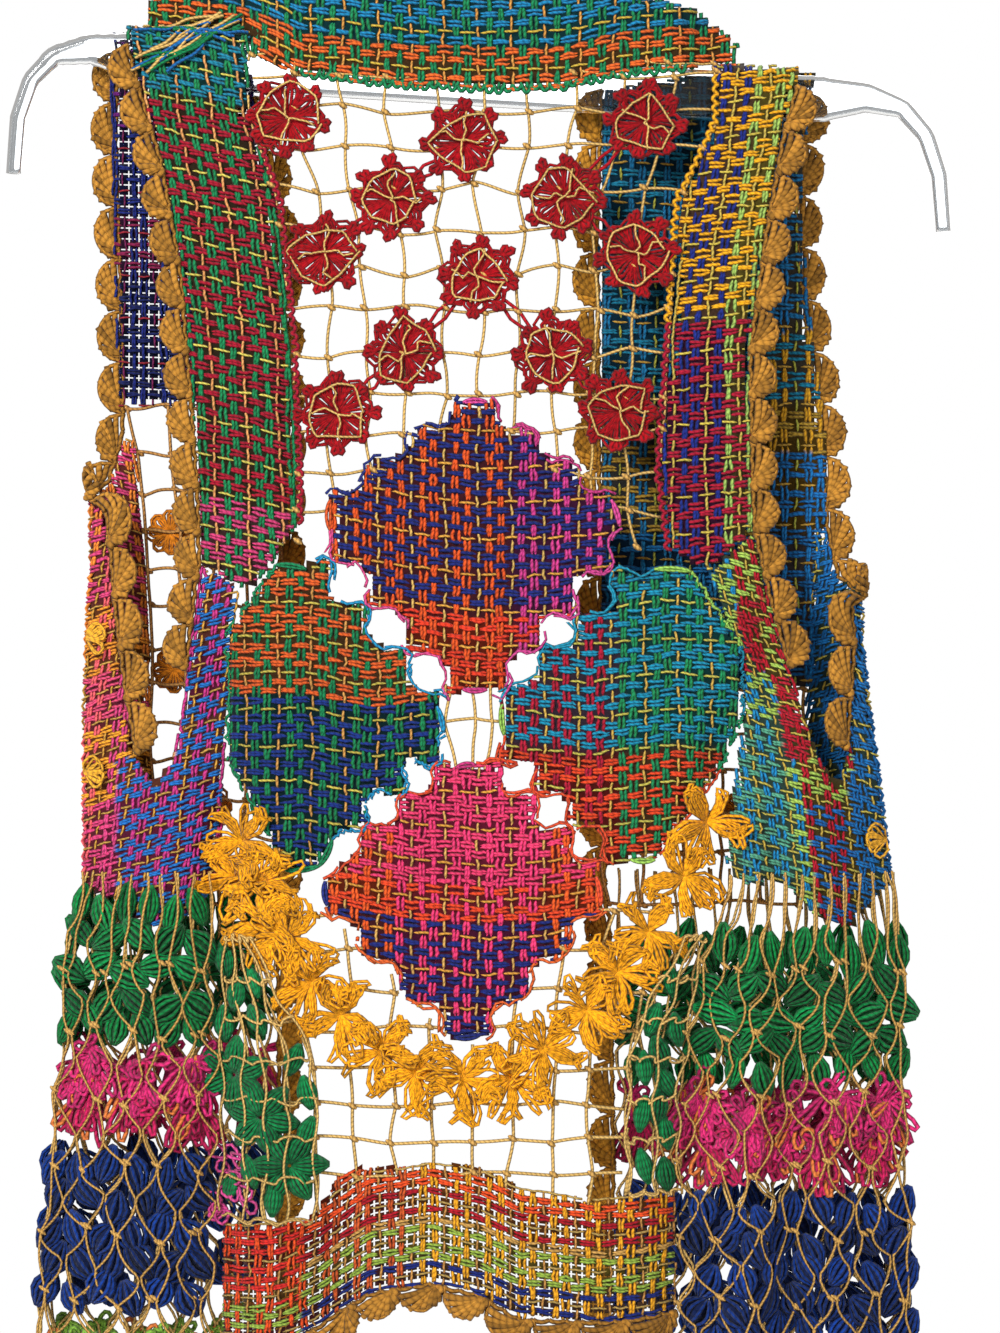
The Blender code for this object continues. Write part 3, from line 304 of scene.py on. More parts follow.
def build_ply_group():
    """Twisted plies along a yarn: the groove is |sin(pi * (length / ply length + turn round))|.

    The shade is painted shade in the grooves between the plies, 0.33 + 0.57 * groove^0.7, with 0.30 of fine
    noise and 0.22 of broad noise more as random tone.
    """
    group = bpy.data.node_groups.new("twisted_plies", "ShaderNodeTree")
    for socket, way in (("Ply Length", "INPUT"), ("Ply Shade", "OUTPUT"), ("Ply Height", "OUTPUT")):
        group.interface.new_socket(socket, in_out=way, socket_type="NodeSocketFloat")
    enter = group.nodes.new("NodeGroupInput")
    leave = group.nodes.new("NodeGroupOutput")
    place = group.nodes.new("ShaderNodeUVMap")
    place.uv_map = "yarn"
    split = group.nodes.new("ShaderNodeSeparateXYZ")
    group.links.new(place.outputs["UV"], split.inputs[0])
    turns = maths(group, "DIVIDE", split.outputs["Y"], enter.outputs["Ply Length"])
    phase = maths(group, "ADD", turns, split.outputs["X"])
    groove = maths(group, "ABSOLUTE", maths(group, "SINE", maths(group, "MULTIPLY", phase, math.pi)))
    fuzz = speckle(group, 1400.0, 3.0)
    # Painted shade: the base colour darkens in the grooves between the plies.
    shade = maths(group, "MULTIPLY_ADD", maths(group, "POWER", groove, 0.7), 0.57, 0.33)
    shade = maths(group, "ADD", shade, maths(group, "MULTIPLY", fuzz, 0.30))
    shade = maths(group, "ADD", shade, maths(group, "MULTIPLY", speckle(group, 60.0), 0.22))
    group.links.new(shade, leave.inputs["Ply Shade"])
    group.links.new(maths(group, "MULTIPLY_ADD", fuzz, 0.35, groove), leave.inputs["Ply Height"])
    return group


PLIES = build_ply_group()


def cotton(name, ply_length, roughness, sheen, depth):
    """A spun yarn: its dye, with painted shade in the grooves between its plies, and a soft nap."""
    finish, tree, shader = new_finish(name, Roughness=roughness, Sheen_Weight=sheen, Sheen_Roughness=0.6,
                                      Specular_IOR_Level=0.12)
    plies = tree.nodes.new("ShaderNodeGroup")
    plies.node_tree = PLIES
    plies.inputs["Ply Length"].default_value = ply_length
    dyed(tree, shader, plies.outputs["Ply Shade"])
    raised(tree, shader, plies.outputs["Ply Height"], depth, 0.7)
    return finish


DOUBLED = cotton("doubled_cotton", 2.6, 0.85, 0.06, 0.00045)


def painted_shadow_finish():
    """Painted shadow between the yarns: a dark sheet whose tint and small bump are spotted by fine noise."""
    finish, tree, shader = new_finish("painted_shadow_between_yarns", Roughness=0.95, Sheen_Weight=0.05,
                                      Specular_IOR_Level=0.1)
    fuzz = speckle(tree, 900.0)
    dyed(tree, shader, maths(tree, "ADD", fuzz, 0.5))
    raised(tree, shader, fuzz, 0.0003)
    return finish


SHADOW_BETWEEN = painted_shadow_finish()


def along_line(line, share, look=6.0):
    """Points at shares of a line's length, and the way to its right, seen over look on each side."""
    line = np.array(line, dtype=float)
    run = np.concatenate([[0.0], np.cumsum(np.linalg.norm(np.diff(line, axis=0), axis=1))])

    def at(place):
        return np.stack([np.interp(place, run, column) for column in line.T], axis=-1)

    place = np.asarray(share) * run[-1]
    ahead = at(place + look) - at(place - look)
    ahead /= np.maximum(np.linalg.norm(ahead, axis=-1, keepdims=True), 1e-9)
    return at(place), np.stack([ahead[..., 1], -ahead[..., 0]], axis=-1)


def arcs(line, surface, count, reach, way, radius, colour, height=0.6, steps=9, swell=0.7, rng=None):
    """Yarns that bow out between evenly spaced points of a line, by reach * sin(pi t)^swell.

    Each rises by 0.8 * sin(pi t) over its height, and rng, if given, makes the bows uneven.
    """
    t = np.linspace(0.0, 1.0, steps)
    share = (np.arange(count)[:, None] + t) / count
    point, out = along_line(line, share)
    bow = reach * np.sin(math.pi * t) ** swell
    if rng is not None:
        bow = bow * rng.uniform(0.75, 1.2, (count, 1))
    place = point + out * way * bow[..., None]
    lift = height + 0.8 * np.sin(math.pi * t)
    return spun(surface(place[..., 0], place[..., 1], lift), radius, colour)


def banded(bands, place):
    """The dye at a place: that of the first band that ends beyond it."""
    limits = np.array([limit for limit, _ in bands[:-1]])
    return np.array([dye(text) for _, text in bands])[np.searchsorted(limits, place)]


STRAIGHT = ((0, 0), (1, 0))
SWING = 1.0
WARP_RADIUS, WEFT_RADIUS = 0.95, 0.90
LONE_WARP_EVERY, LONE_WEFT_EVERY = 3, 4
LONE_SIZE, LONE_RISE = 0.72, 0.15
STRANDS_APART = 0.92
WANDER = ((0.55, 13.0), (0.25, 4.1))
JOSTLE = 0.24
# Share of the mean warp and weft dye given to the dark sheet of painted shadow under the yarns.
BED_SHADOW_TINT = 0.09
BED_WALL = 0.0004


def woven(name, slot, outline, surface, warp, weft, lone_warp, lone_weft, lean=0.0, follow=STRAIGHT,
          sag=STRAIGHT, pitch=(5.1, 4.15), seed=1, gap=0.0, gauge=1.0, lone_rise=LONE_RISE, patches=(),
          edges=()):
    """A loom-woven panel in doubled yarn.

    Warp i lies at i * pitch across, weft j at j * pitch down, each as two strands side by side,
    with one single strand, which floats higher, in every third warp and fourth weft. A warp's
    height is SWING * cos(pi * down / pitch) * (-1)^i, a weft's the other way round, so they pass
    over and under. follow slides the warps across with the drop, lean slopes the wefts, and sag
    lets them down by a table over x. Each strand wanders by the reach * sin(run / along) of both
    rows of WANDER, and is jostled by JOSTLE. A patch has yarns of its own within (x from, x to,
    drop from, drop to, warp, weft). Gauge times the yarns' radius and a gap round each crossing,
    as a share of the pitch, open a loose weave. Along an edge the wefts turn in small loops:
    (line, count, reach, way, dye).
    """
    rng = np.random.default_rng(seed)
    corners = np.array(outline, dtype=float)
    middle = corners[:, 0].mean()
    slides, slack = np.array(follow)[:, 1], np.abs(np.array(sag)[:, 1]).max()
    across, down = pitch

    def place(p, q):
        x = p + read_table(follow, q, 1)
        return x, q + lean * (p - middle) + read_table(sag, x, 1)

    low, high = corners.min(axis=0), corners.max(axis=0)
    margin = abs(lean) * (high[0] - low[0]) + down + slack
    columns = np.arange(math.floor((low[0] - slides.max()) / across),
                        math.ceil((high[0] - slides.min()) / across) + 1)
    rows = np.arange(math.floor((low[1] - margin) / down), math.ceil((high[1] + margin) / down) + 1)
    parts = []
    for lines, step, other, other_step, radius, every, upright, bands, single, rise in (
            (columns, across, rows, down, WARP_RADIUS, LONE_WARP_EVERY, True, warp, lone_warp, lone_rise),
            (rows, down, columns, across, WEFT_RADIUS, LONE_WEFT_EVERY, False, weft, lone_weft, LONE_RISE)):
        run = np.arange(other[0] * 2, other[-1] * 2 + 1) * other_step / 2
        lone = lines % every == 0
        apart = STRANDS_APART * gauge * radius
        offset = np.where(lone[:, None], [[0.0, 0.0]], [[-apart, apart]])[:, :, None]
        phase = rng.uniform(0, 6.28, (2, len(lines), 2, 1))
        wander = sum(reach * np.sin(run / along + turn) for (reach, along), turn in zip(WANDER, phase))
        wander = wander + rng.normal(0.0, JOSTLE, wander.shape)
        side_way = lines[:, None, None] * step + offset + wander
        long_way = np.broadcast_to(run, side_way.shape)
        sign = (-1.0) ** lines[:, None, None] * (1.0 if upright else -1.0)
        height = SWING * np.cos(math.pi * long_way / other_step) * sign
        height = height + np.where(lone, rise, 0.0)[:, None, None]
        x, drop = place(side_way, long_way) if upright else place(long_way, side_way)
        keep = inside(x, drop, corners)
        keep[:, 1] &= ~lone[:, None]
        shade = np.where(lone[:, None], dye(single), banded(bands, lines * step))
        shade = np.broadcast_to(shade[:, None, None], (*x.shape, 3)).copy()
        for x_from, x_to, drop_from, drop_to, warp_dye, weft_dye in patches:
            within = (x > x_from) & (x < x_to) & (drop > drop_from) & (drop < drop_to)
            shade[within & ~lone[:, None, None]] = dye(warp_dye if upright else weft_dye)
        shade = shade * rng.uniform(0.82, 1.12, (len(lines), 2, 1, 1))
        thickness = gauge * np.where(lone, LONE_SIZE, 1.0)[:, None, None] * radius
        thickness = thickness * rng.uniform(0.88, 1.1, x.shape)
        parts.append(spun(surface(x, drop, height), thickness, shade, keep))
    parts += [arcs(line, surface, count, reach, way, 1.0, dye(text), 0.3, steps=6, rng=rng)
              for line, count, reach, way, text in edges]
    yarns = made(name + "_yarns", parts, DOUBLED)
    # Under the yarns a dark sheet of painted shadow, tinted from their dyes, stands in for the shade between
    # and behind them.
    p, q = np.meshgrid((columns - 0.5) * across, (rows - 0.5) * down)
    x, drop = place(p, q)
    points = surface(x, drop)[0].reshape(-1, 3)
    index = np.arange(x.size).reshape(x.shape)
    faces = np.stack([index[:-1, :-1], index[1:, :-1], index[1:, 1:], index[:-1, 1:]], -1).reshape(-1, 4)
    within = inside(x, drop, corners).ravel()
    faces = faces[within[faces].sum(axis=1) >= 3]
    tint = BED_SHADOW_TINT * (banded(warp, p.ravel()) + banded(weft, q.ravel())) / 2
    if gap:
        centre = points[faces].mean(axis=1, keepdims=True)
        points = (centre + (points[faces] - centre) * (1.0 - gap)).reshape(-1, 3)
        tint = tint[faces].reshape(-1, 3)
        faces = np.arange(len(points)).reshape(-1, 4)
    bed_part = {"points": points, "faces": faces, "shade": tint, "uv": np.zeros((len(faces), 4, 2))}
    shadow_sheet = made(name + "_shadow_sheet", [bed_part], SHADOW_BETWEEN)
    wall = shadow_sheet.modifiers.new("wall", "SOLIDIFY")
    wall.thickness = BED_WALL
    wall.offset = 0.0
    worn(slot, shadow_sheet, yarns)
    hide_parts(name)
    ahead = np.roll(corners, -1, axis=0)
    area = abs(np.sum(corners[:, 0] * ahead[:, 1] - ahead[:, 0] * corners[:, 1])) / 2
    return {"shadow_sheet": shadow_sheet, "yarns": yarns, "flat": tuple(((high - low) * MM).tolist()),
            "area": float(area) * MM * MM}


TAN = "DDB468"
BAND_UNDER = [(-82, 87), (-36, 92), (10, 94), (38, 93), (65, 87), (96, 84)]
neck_band = woven(
    "neck_band", "band_weave",
    [(-156, 66.6), (-105.5, 69.6), (-105.5, 79)] + [(x, d + 1.5) for x, d in BAND_UNDER]
    + [(107, 82.7), (121, 83.6), (121, 72), (102, 57), (56, 48), (17, 43), (-22, 42), (-65, 43),
       (-105, 45), (-152, 50)], BACK,
    warp=[(0, "178250")], weft=[(77, "1A7FB0"), (200, "DE6426")],
    lone_warp="DC9A48", lone_weft="D0B040", pitch=(5.2, 4.3), seed=11,
    sag=((-156, -28), (-107, -20), (-82, -7), (-36, -2), (10, 0), (38, -1), (65, -7), (96, -10), (121, -12)),
    edges=[([(x, d - 1.2) for x, d in BAND_UNDER], 42, 3.4, -1, "178250")])

# Shoulder straps
# Two loom-woven strips from the neck band over the hanger's bar to the armholes. The left one is
# green and crimson, the right one gold and navy above, crimson and navy below, with lime warps.
STRAP_LEFT_OUT = [(-162, 66), (-153, 106), (-146, 129), (-137, 179), (-132, 239), (-129, 280),
                  (-128, 313)]
STRAP_LEFT_IN = [(-107, 69.5), (-107, 106), (-93, 147), (-86, 211), (-83, 296)]
STRAP_RIGHT_IN = [(111, 83), (111, 110), (93, 147), (89, 207), (84, 271), (89, 308)]
STRAP_RIGHT_OUT = [(148, 85.3), (141, 115), (132, 165), (125, 216), (126, 276), (127, 299)]
strap_left = woven(
    "back_strap_left", "strap_weave",
    [(-164, 63.5)] + STRAP_LEFT_OUT[1:] + [(-109, 326), (-99, 321)] + STRAP_LEFT_IN[:0:-1]
    + [(-105.5, 67)], BACK,
    warp=[(0, "17804C")], weft=[(97, "1C7C98"), (286, "A2142C"), (400, "C83C70")],
    lone_warp="E09C5C", lone_weft="D2C458", lean=0.22,
    follow=((60, -22), (106, -16), (147, -8), (211, -1), (326, 3)), seed=12, lone_rise=0.8,
    edges=[(STRAP_LEFT_IN[1:], 46, 2.6, 1, "A2142C")])
strap_right = woven(
    "back_strap_right", "strap_weave",
    [(109, 80.5)] + STRAP_RIGHT_IN[1:] + [(106, 318)] + STRAP_RIGHT_OUT[:0:-1] + [(150, 83)], BACK,
    warp=[(115, "1C2C84"), (150, "98B85A")], weft=[(203, "F0AC1C"), (400, "A81632")],
    lone_warp="CDB452", lone_weft="D2BC4C", lean=-0.10,
    follow=((80, 14), (115, 10), (165, 2), (216, -2), (318, -2)), seed=13, lone_rise=0.7,
    edges=[([(111, 88), (111, 110), (93, 147), (89, 203)], 27, 2.6, -1, "F0AC1C"),
           ([(89, 203), (84, 271), (89, 308)], 24, 2.6, -1, "A81632")])

# Diamonds of the back
# Four loom-woven diamonds set point to point in a cross, each in two or three bright colours.
# Bundles of their own yarn loop round the stepped edges and tie them to each other.
DIAMOND_TOP = [(-7, 240), (4, 240), (61, 285), (65, 297), (4, 372), (-7, 372), (-68, 299),
               (-68, 285)]
DIAMOND_LEFT = [(-93, 315), (-79, 317), (-19, 380), (-16, 392), (-47, 418), (-67, 441), (-73, 453),
                (-88, 455), (-115, 405), (-116, 346)]
DIAMOND_RIGHT = [(81, 317), (98, 318), (121, 352), (122, 384), (112, 409), (81, 450), (70, 450),
                 (12, 393), (11, 379)]
DIAMOND_BOTTOM = [(-10, 408), (-1, 407), (54, 458), (56, 471), (1, 530), (-11, 531), (-69, 471),
                  (-70, 460)]
JOINTS = ((-67, 313), (-51, 333), (-33, 354), (-15, 375), (61, 317), (45, 337), (29, 353), (13, 372),
          (-19, 406), (-35, 420), (-52, 435), (11, 406), (26, 420), (42, 435), (59, 451))
JOINT_HALF = 6.0
JOINT_REACH = 13.5
BITE_EVERY, BITE_OUT, BITE_DEEP = 26.0, 3.0, 6.5
BOW_EVERY = 17.0


def bitten(start, end, steps=40):
    """A diamond's side that swells out to each joint near it, and dips between them to leave ovals.

    At distance a along the side it stands out by the highest of
    h * exp(-((a - b) / JOINT_HALF)^4), where b is where a joint lies along it and h how far out
    the joint is. A free side of the top or bottom diamond is bitten by the net instead, once in
    BITE_EVERY, by BITE_OUT - BITE_DEEP * exp(-(distance / JOINT_HALF)^4).
    """
    start, end = np.array(start, dtype=float), np.array(end, dtype=float)
    length = np.linalg.norm(end - start)
    along = (end - start) / length
    out = np.array([along[1], -along[0]])
    ahead = np.linspace(0.0, length, steps)
    swell = np.zeros(steps)
    for joint in JOINTS:
        b, h = np.dot(joint - start, along), np.dot(joint - start, out)
        if -3.0 < b < length + 3.0 and 0.0 < h < JOINT_REACH:
            swell = np.maximum(swell, h * np.exp(-(((ahead - b) / JOINT_HALF) ** 4)))
    joined = swell.max() > 0.0
    if not joined and length > 20.0 and abs(start[0] + end[0]) < 120.0:
        period = length / round(length / BITE_EVERY)
        swell = BITE_OUT - BITE_DEEP * np.exp(-(((ahead % period - period / 2) / JOINT_HALF) ** 4))
    return start + ahead[:, None] * along + swell[:, None] * out, joined or length > 20.0


def bitten_outline(outline):
    """A diamond's whole outline, side after side."""
    return [tuple(point) for start, end in zip(outline, outline[1:] + outline[:1])
            for point in bitten(start, end)[0][:-1]]


def bound(name, slot, outline, colours, seed, steps=34):
    """Bundles of yarn round a diamond: along the dips of a long side, in bows on a short one."""
    rng = np.random.default_rng(seed)
    parts = []
    for start, end, text in zip(outline, outline[1:] + outline[:1], colours):
        line, joined = bitten(start, end)
        count = max(1, round(math.dist(start, end) / BOW_EVERY))
        for reach in (-0.6, 1.0):
            shade = dye(text) * rng.uniform(0.75, 1.1)
            if joined:
                share = np.linspace(0.0, 1.0, steps)
                place, out = along_line(line, share, 3.0)
                place = place + out * (0.5 * reach + rng.normal(0.0, 0.6, (steps, 1)))
                laid = BACK(*place.T[:, None], 0.8 + rng.normal(0.0, 0.4, (1, steps)))
                broken = np.sin(share * rng.uniform(14.0, 26.0) + rng.uniform(0.0, 6.28)) > -0.75
                parts.append(spun(laid, 0.72 * rng.uniform(0.8, 1.15, (1, steps)), shade, broken[None]))
            else:
                parts.append(arcs([start, end], BACK, count, reach + 0.6, 1, 0.8, shade,
                                  height=0.5 + 0.3 * reach, steps=8, rng=rng))
    piece = made(name, parts, DOUBLED)
    worn(slot, piece)
    return piece


diamond_top = woven(
    "diamond_top", "navy_weave", bitten_outline(DIAMOND_TOP), BACK,
    warp=[(16, "DE5420"), (90, "CC3C88")], weft=[(335, "1C2874"), (400, "D83A22")],
    lone_warp="D8B060", lone_weft="DCA040", lean=0.05, seed=21,
    sag=((-68, -3), (-35, 2), (0, 4), (35, 2), (65, -3)))
diamond_left = woven(
    "diamond_left", "green_weave", bitten_outline(DIAMOND_LEFT), BACK,
    warp=[(0, "137A4A")], weft=[(375, "DC5E26"), (500, "16307C")],
    lone_warp="CC944C", lone_weft="C4B44C", lean=0.08, seed=22,
    sag=((-113, 3), (-80, 0), (-50, 3), (-16, -3)))
diamond_right = woven(
    "diamond_right", "blue_weave", bitten_outline(DIAMOND_RIGHT), BACK,
    warp=[(66, "AE1834"), (140, "1A8450")], weft=[(398, "178AAC"), (500, "DC4420")],
    lone_warp="CCA64C", lone_weft="C2B850", lean=-0.05, seed=23,
    sag=((12, -4), (50, 2), (90, 0), (122, 4)))
diamond_bottom = woven(
    "diamond_bottom", "magenta_weave", bitten_outline(DIAMOND_BOTTOM), BACK,
    warp=[(-40, "EC5C22"), (32, "EC3C74"), (90, "EC5C22")],
    weft=[(458, "EA3E6E"), (474, "E84824"), (600, "1C2874")],
    lone_warp="D6A65A", lone_weft="DC9C3E", lean=0.03, seed=24,
    sag=((-70, -3), (-30, 3), (5, 4), (30, 2), (56, -3)))
for panel, name, slot, outline, colours, seed in (
        (diamond_top, "diamond_top_loops", "navy_weave", DIAMOND_TOP,
         ["D84A96", "C83C80", "D84A96", "D84A96", "C83C80", "E0508E", "E8602C", "26327F"], 31),
        (diamond_left, "diamond_left_loops", "green_weave", DIAMOND_LEFT,
         ["1B8A58", "1F8FC0", "1F8FC0", "1F8FC0", "1F8FC0", "1B8A58", "1B8A58", "1B8A58", "1B8A58",
          "1B8A58"], 32),
        (diamond_right, "diamond_right_loops", "blue_weave", DIAMOND_RIGHT,
         ["9CCB5A", "9CCB5A", "1F95B4", "1B8A58", "E4502C", "9CCB5A", "E4502C", "9CCB5A",
          "1F95B4"], 33),
        (diamond_bottom, "diamond_bottom_loops", "magenta_weave", DIAMOND_BOTTOM,
         ["DA3E86", "E0502E", "E0502E", "E8682E", "26327F", "E8682E", "26327F", "E0502E"], 34)):
    bound(name, slot, outline, colours, seed)

# Flower net
# A square net of single tan twisted cotton between the straps, knotted at each crossing, with
# twelve red flowers. Each is wound in loops from its middle and tied down with a ring of tan yarn.
NET_OUTLINE = [(-106.3, 74), (-82, 82), (-36, 87), (10, 89), (38, 88), (65, 82), (96, 79), (112, 80),
               (111, 110), (93.5, 147), (89, 207), (84, 271), (88, 306), (72, 308), (61, 291),
               (4, 248), (-7, 248), (-69, 291), (-70, 300), (-84, 306), (-84, 296), (-86, 211),
               (-93.5, 147), (-107, 106)]
RED_FLOWERS = (
    # x, drop
    (-88, 108), (-7, 119), (77, 110), (-40, 146), (40, 145), (-71, 171),
    (0, 182), (73, 171), (-34, 217), (34, 217), (-65, 245), (65, 244),
)
CENTRE_TIES = [[(-12, 369), (-15, 388), (-10, 409)], [(-3, 371), (-1, 390), (-3, 409)],
               [(5, 369), (7, 388), (3, 409)], [(-18, 388), (-2, 385), (12, 387)]]
NET_LEVELS = [80, 88, 104, 122, 141, 160, 179, 198, 217, 236, 254, 272, 290, 306]
PETALS = 8
LINKED_WITHIN, LINK_FROM = 52.0, 15
KNOT = "CFA055"
TWISTED = cotton("twisted_cotton", 2.2, 0.85, 0.06, 0.0004)
SOFT = cotton("soft_loop_cotton", 3.4, 0.9, 0.08, 0.0004)


def looped(centre, angle, length, width, surface, radius, colour, lift=1.0, rise=1.5, steps=8,
           droop=0.0, curl=0.0):
    """Loops of yarn from a middle: out length * sin(pi t)^0.9, across width / 2 * sin(2 pi t).

    Towards its end a loop sinks by the droop, turns by curl * cos(5 * its angle), and stands
    rise over its lift.
    """
    t = np.linspace(0.0, 1.0, steps)
    centre, angle, length, width = (np.asarray(a, dtype=float) for a in (centre, angle, length, width))
    out = length[:, None] * np.sin(math.pi * t) ** 0.9
    aside = width[:, None] / 2 * np.sin(2.0 * math.pi * t)
    turned = angle[:, None] + curl * np.cos(5.0 * angle)[:, None] * np.sin(math.pi * t) ** 2
    cosine, sine = np.cos(turned), np.sin(turned)
    x = centre[:, :1] + out * cosine - aside * sine
    drop = centre[:, 1:] + out * sine + aside * cosine + droop * np.sin(math.pi * t) ** 2
    return spun(surface(x, drop, lift + rise * np.sin(math.pi * t)), radius, colour)


def wound_flower(x, drop, petals, loops, length, width, surface, radius, text, rng, lift=1.0,
                 rise=2.0, turn=0.0, ragged=0.09, **bend):
    """A flower of petals, each a nest of loops from narrow to wide, uneven by the ragged angle."""
    petal = np.repeat(np.arange(petals), loops)
    nest = np.tile((np.arange(loops) + 1.0) / loops, petals)
    angle = turn + 2.0 * math.pi * petal / petals + rng.uniform(-ragged, ragged, len(petal))
    reach = length * rng.uniform(0.95 - ragged, 1.05, len(petal)) * (0.82 + 0.18 * nest)
    centre = np.tile([[x, drop]], (len(petal), 1))
    shade = dye(text) * rng.uniform(0.6, 1.2, (len(petal), 1))
    return looped(centre, angle, reach, width * nest, surface, radius, shade, lift, rise, **bend)


def netted(lines, surface, radius, text, height=0.0, steps=40, keep_in=None, wave=0.5, seed=5):
    """Single yarns along lines, spread to equal steps, wandering by wave * sin of their run."""
    rng = np.random.default_rng(seed)
    places = np.stack([along_line(line, np.linspace(0, 1, steps))[0] for line in lines])
    phase = rng.uniform(0, 6.28, (len(lines), 1))
    run = np.linspace(0, steps, steps)
    x = places[..., 0] + wave * np.sin(run / 1.9 + phase)
    drop = places[..., 1] + wave * np.sin(run / 2.3 + 2 * phase)
    keep = None if keep_in is None else inside(x, drop, keep_in)
    shade = dye(text) * rng.uniform(0.85, 1.1, (len(lines), 1))
    return spun(surface(x, drop, height + 0.3 * np.sin(run + phase)), radius, shade, keep)


def knotted(points, surface, radius, text, height=0.8, keep_in=None):
    """A small knot at each point: a short fat yarn on the slant, 4 mm long."""
    points = np.array(points, dtype=float)
    if keep_in is not None:
        points = points[inside(points[:, 0], points[:, 1], keep_in)]
    t = np.linspace(-1.0, 1.0, 5)
    size = radius * np.array([[0.35, 1.0, 1.15, 1.0, 0.35]])
    return spun(surface(points[:, :1] + 2.0 * t, points[:, 1:] + 1.3 * t, height), size, dye(text))


def edge_x(edge, drop):
    """An edge's x at a drop; the edge runs from the top down."""
    edge = np.array(edge, dtype=float)
    return np.interp(drop, edge[:, 1], edge[:, 0])


def square_net(left, right, levels, columns, loose=1.5):
    """Lines of a square net between two edges, and its crossings, up to loose out of true."""
    drops = np.array(levels, dtype=float)
    start, end = edge_x(left, drops)[:, None], edge_x(right, drops)[:, None]
    share = np.arange(columns + 1) / columns
    grid = np.stack([start + (end - start) * share, drops[:, None] + 0.0 * share], axis=-1)
    grid += np.random.default_rng(columns).uniform(-loose, loose, grid.shape)
    return list(grid.swapaxes(0, 1)) + list(grid), grid.reshape(-1, 2)


lines, crossings = square_net([(-107, 78)] + STRAP_LEFT_IN[1:] + [(-83, 330)],
                              [(111, 83)] + STRAP_RIGHT_IN[1:] + [(89, 330)], NET_LEVELS, 10, 2.4)
flower_net = made("back_flower_net_yarns", [
    netted(lines, BACK, 0.72, TAN, keep_in=NET_OUTLINE, steps=60, wave=1.0),
    knotted(crossings, BACK, 1.2, KNOT, keep_in=NET_OUTLINE),
    netted(CENTRE_TIES, BACK, 0.75, TAN, steps=14, seed=8)], TWISTED)
net_rng = np.random.default_rng(41)
red_parts, tie_parts = [], []
for x, drop in RED_FLOWERS:
    middle = np.array([x, drop])
    turn = net_rng.uniform(-0.15, 0.15)
    red_parts.append(wound_flower(x, drop, PETALS, 5, 17.5, 11.5, BACK, 0.8, "9C0210", net_rng,
                                  lift=0.6, rise=1.6, turn=turn))
    ring = turn + 2 * math.pi * (np.arange(PETALS) + net_rng.uniform(-0.12, 0.12, PETALS)) / PETALS
    outward = np.stack([np.cos(ring), np.sin(ring)], axis=1)
    knobs = middle + outward * net_rng.uniform(14.5, 17.5, (PETALS, 1))
    for knob_turn in (-0.3, 0.3):
        red_parts.append(looped(
            knobs - 3.0 * outward, ring + knob_turn, net_rng.uniform(4.5, 7.0, PETALS), [2.2] * PETALS,
            BACK, 1.25, dye("A40614") * net_rng.uniform(0.65, 1.1, (PETALS, 1)), 1.4, 1.8, steps=7))
    corner = turn + 2 * math.pi * np.arange(PETALS + 1) / PETALS
    reach = net_rng.uniform(10.5, 16.5, PETALS + 1)
    reach[-1] = reach[0]
    frame_line = np.stack([x + reach * np.cos(corner), drop + reach * np.sin(corner)], axis=1)
    tie_parts.append(netted([frame_line], BACK, 0.58, TAN, height=3.6, steps=30, wave=1.1, seed=x + 200))
    spokes = []
    for a in turn + 2 * math.pi * (np.arange(4) + net_rng.uniform(-0.25, 0.25, 4)) / 4:
        bends = np.pad(net_rng.uniform(-2.6, 2.6, (2, 2)), ((1, 1), (0, 0)))
        reach = np.array([[0.0], [4.5], [9.0], [13.0]])
        spokes.append(middle + reach * [math.cos(a), math.sin(a)] + bends)
    tie_parts.append(netted(spokes, BACK, 0.52, TAN, height=3.5, steps=11, wave=0.7, seed=x + 201))
links = []
for index, first in enumerate(RED_FLOWERS):
    for second in RED_FLOWERS[index + 1:]:
        apart = math.dist(first, second)
        if apart < LINKED_WITHIN:
            (x0, d0), (x1, d1) = first, second
            for aside in (-1.6, 1.6):
                ax, ad = -(d1 - d0) / apart * aside, (x1 - x0) / apart * aside
                near = LINK_FROM / apart
                links.append([(x0 + (x1 - x0) * t + ax * k, d0 + (d1 - d0) * t + ad * k)
                              for t, k in ((near, 0.6), (0.5, 1.6), (1 - near, 0.6))])
red_parts.append(netted(links, BACK, 0.85, "B00A1C", height=1.0, steps=9, wave=0.3, seed=44))
red_flowers = made("back_flowers_red", red_parts, SOFT)
flower_ties = made("back_flower_ties", tie_parts, TWISTED)
worn("net_yarn", flower_net, red_flowers, flower_ties)
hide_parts("back_flower_net")

# Garland and net under the diamonds
# Yellow flowers of long loose loops in a V below the diamonds, joined loop to loop, and a square
# tan net from them down to the hem band.
GARLAND = (
    # x, drop
    (-108, 440), (-114, 458), (-98, 459), (-100, 480), (-86, 486), (-76, 505), (-62, 520), (-46, 537),
    (-26, 549), (-6, 552), (14, 548), (31, 536), (49, 519), (64, 501), (79, 481), (92, 458), (103, 434),
)
HEM_TOP = [(-74, 616), (-63, 594), (-22, 589), (1, 591), (19, 600), (52, 607), (68, 605)]
GARLAND_LEFT = [(-117, 404), (-116, 441), (-107, 483), (-88, 515), (-76, 540), (-74.4, 614)]
GARLAND_RIGHT = [(121, 390), (112, 446), (98, 485), (77, 516), (69, 543), (68.4, 603)]
GARLAND_OUTLINE = GARLAND_LEFT + [(x, d + 4) for x, d in HEM_TOP[1:-1]] + GARLAND_RIGHT[::-1] + [
    (81.7, 450.8), (69.6, 450.8), (62.5, 454), (56.6, 471.2), (1.3, 530.6), (-11.3, 531.6), (-69.6, 471.2),
    (-70.6, 460), (-73.6, 453.6), (-84.2, 453.6), (-113.6, 400)]
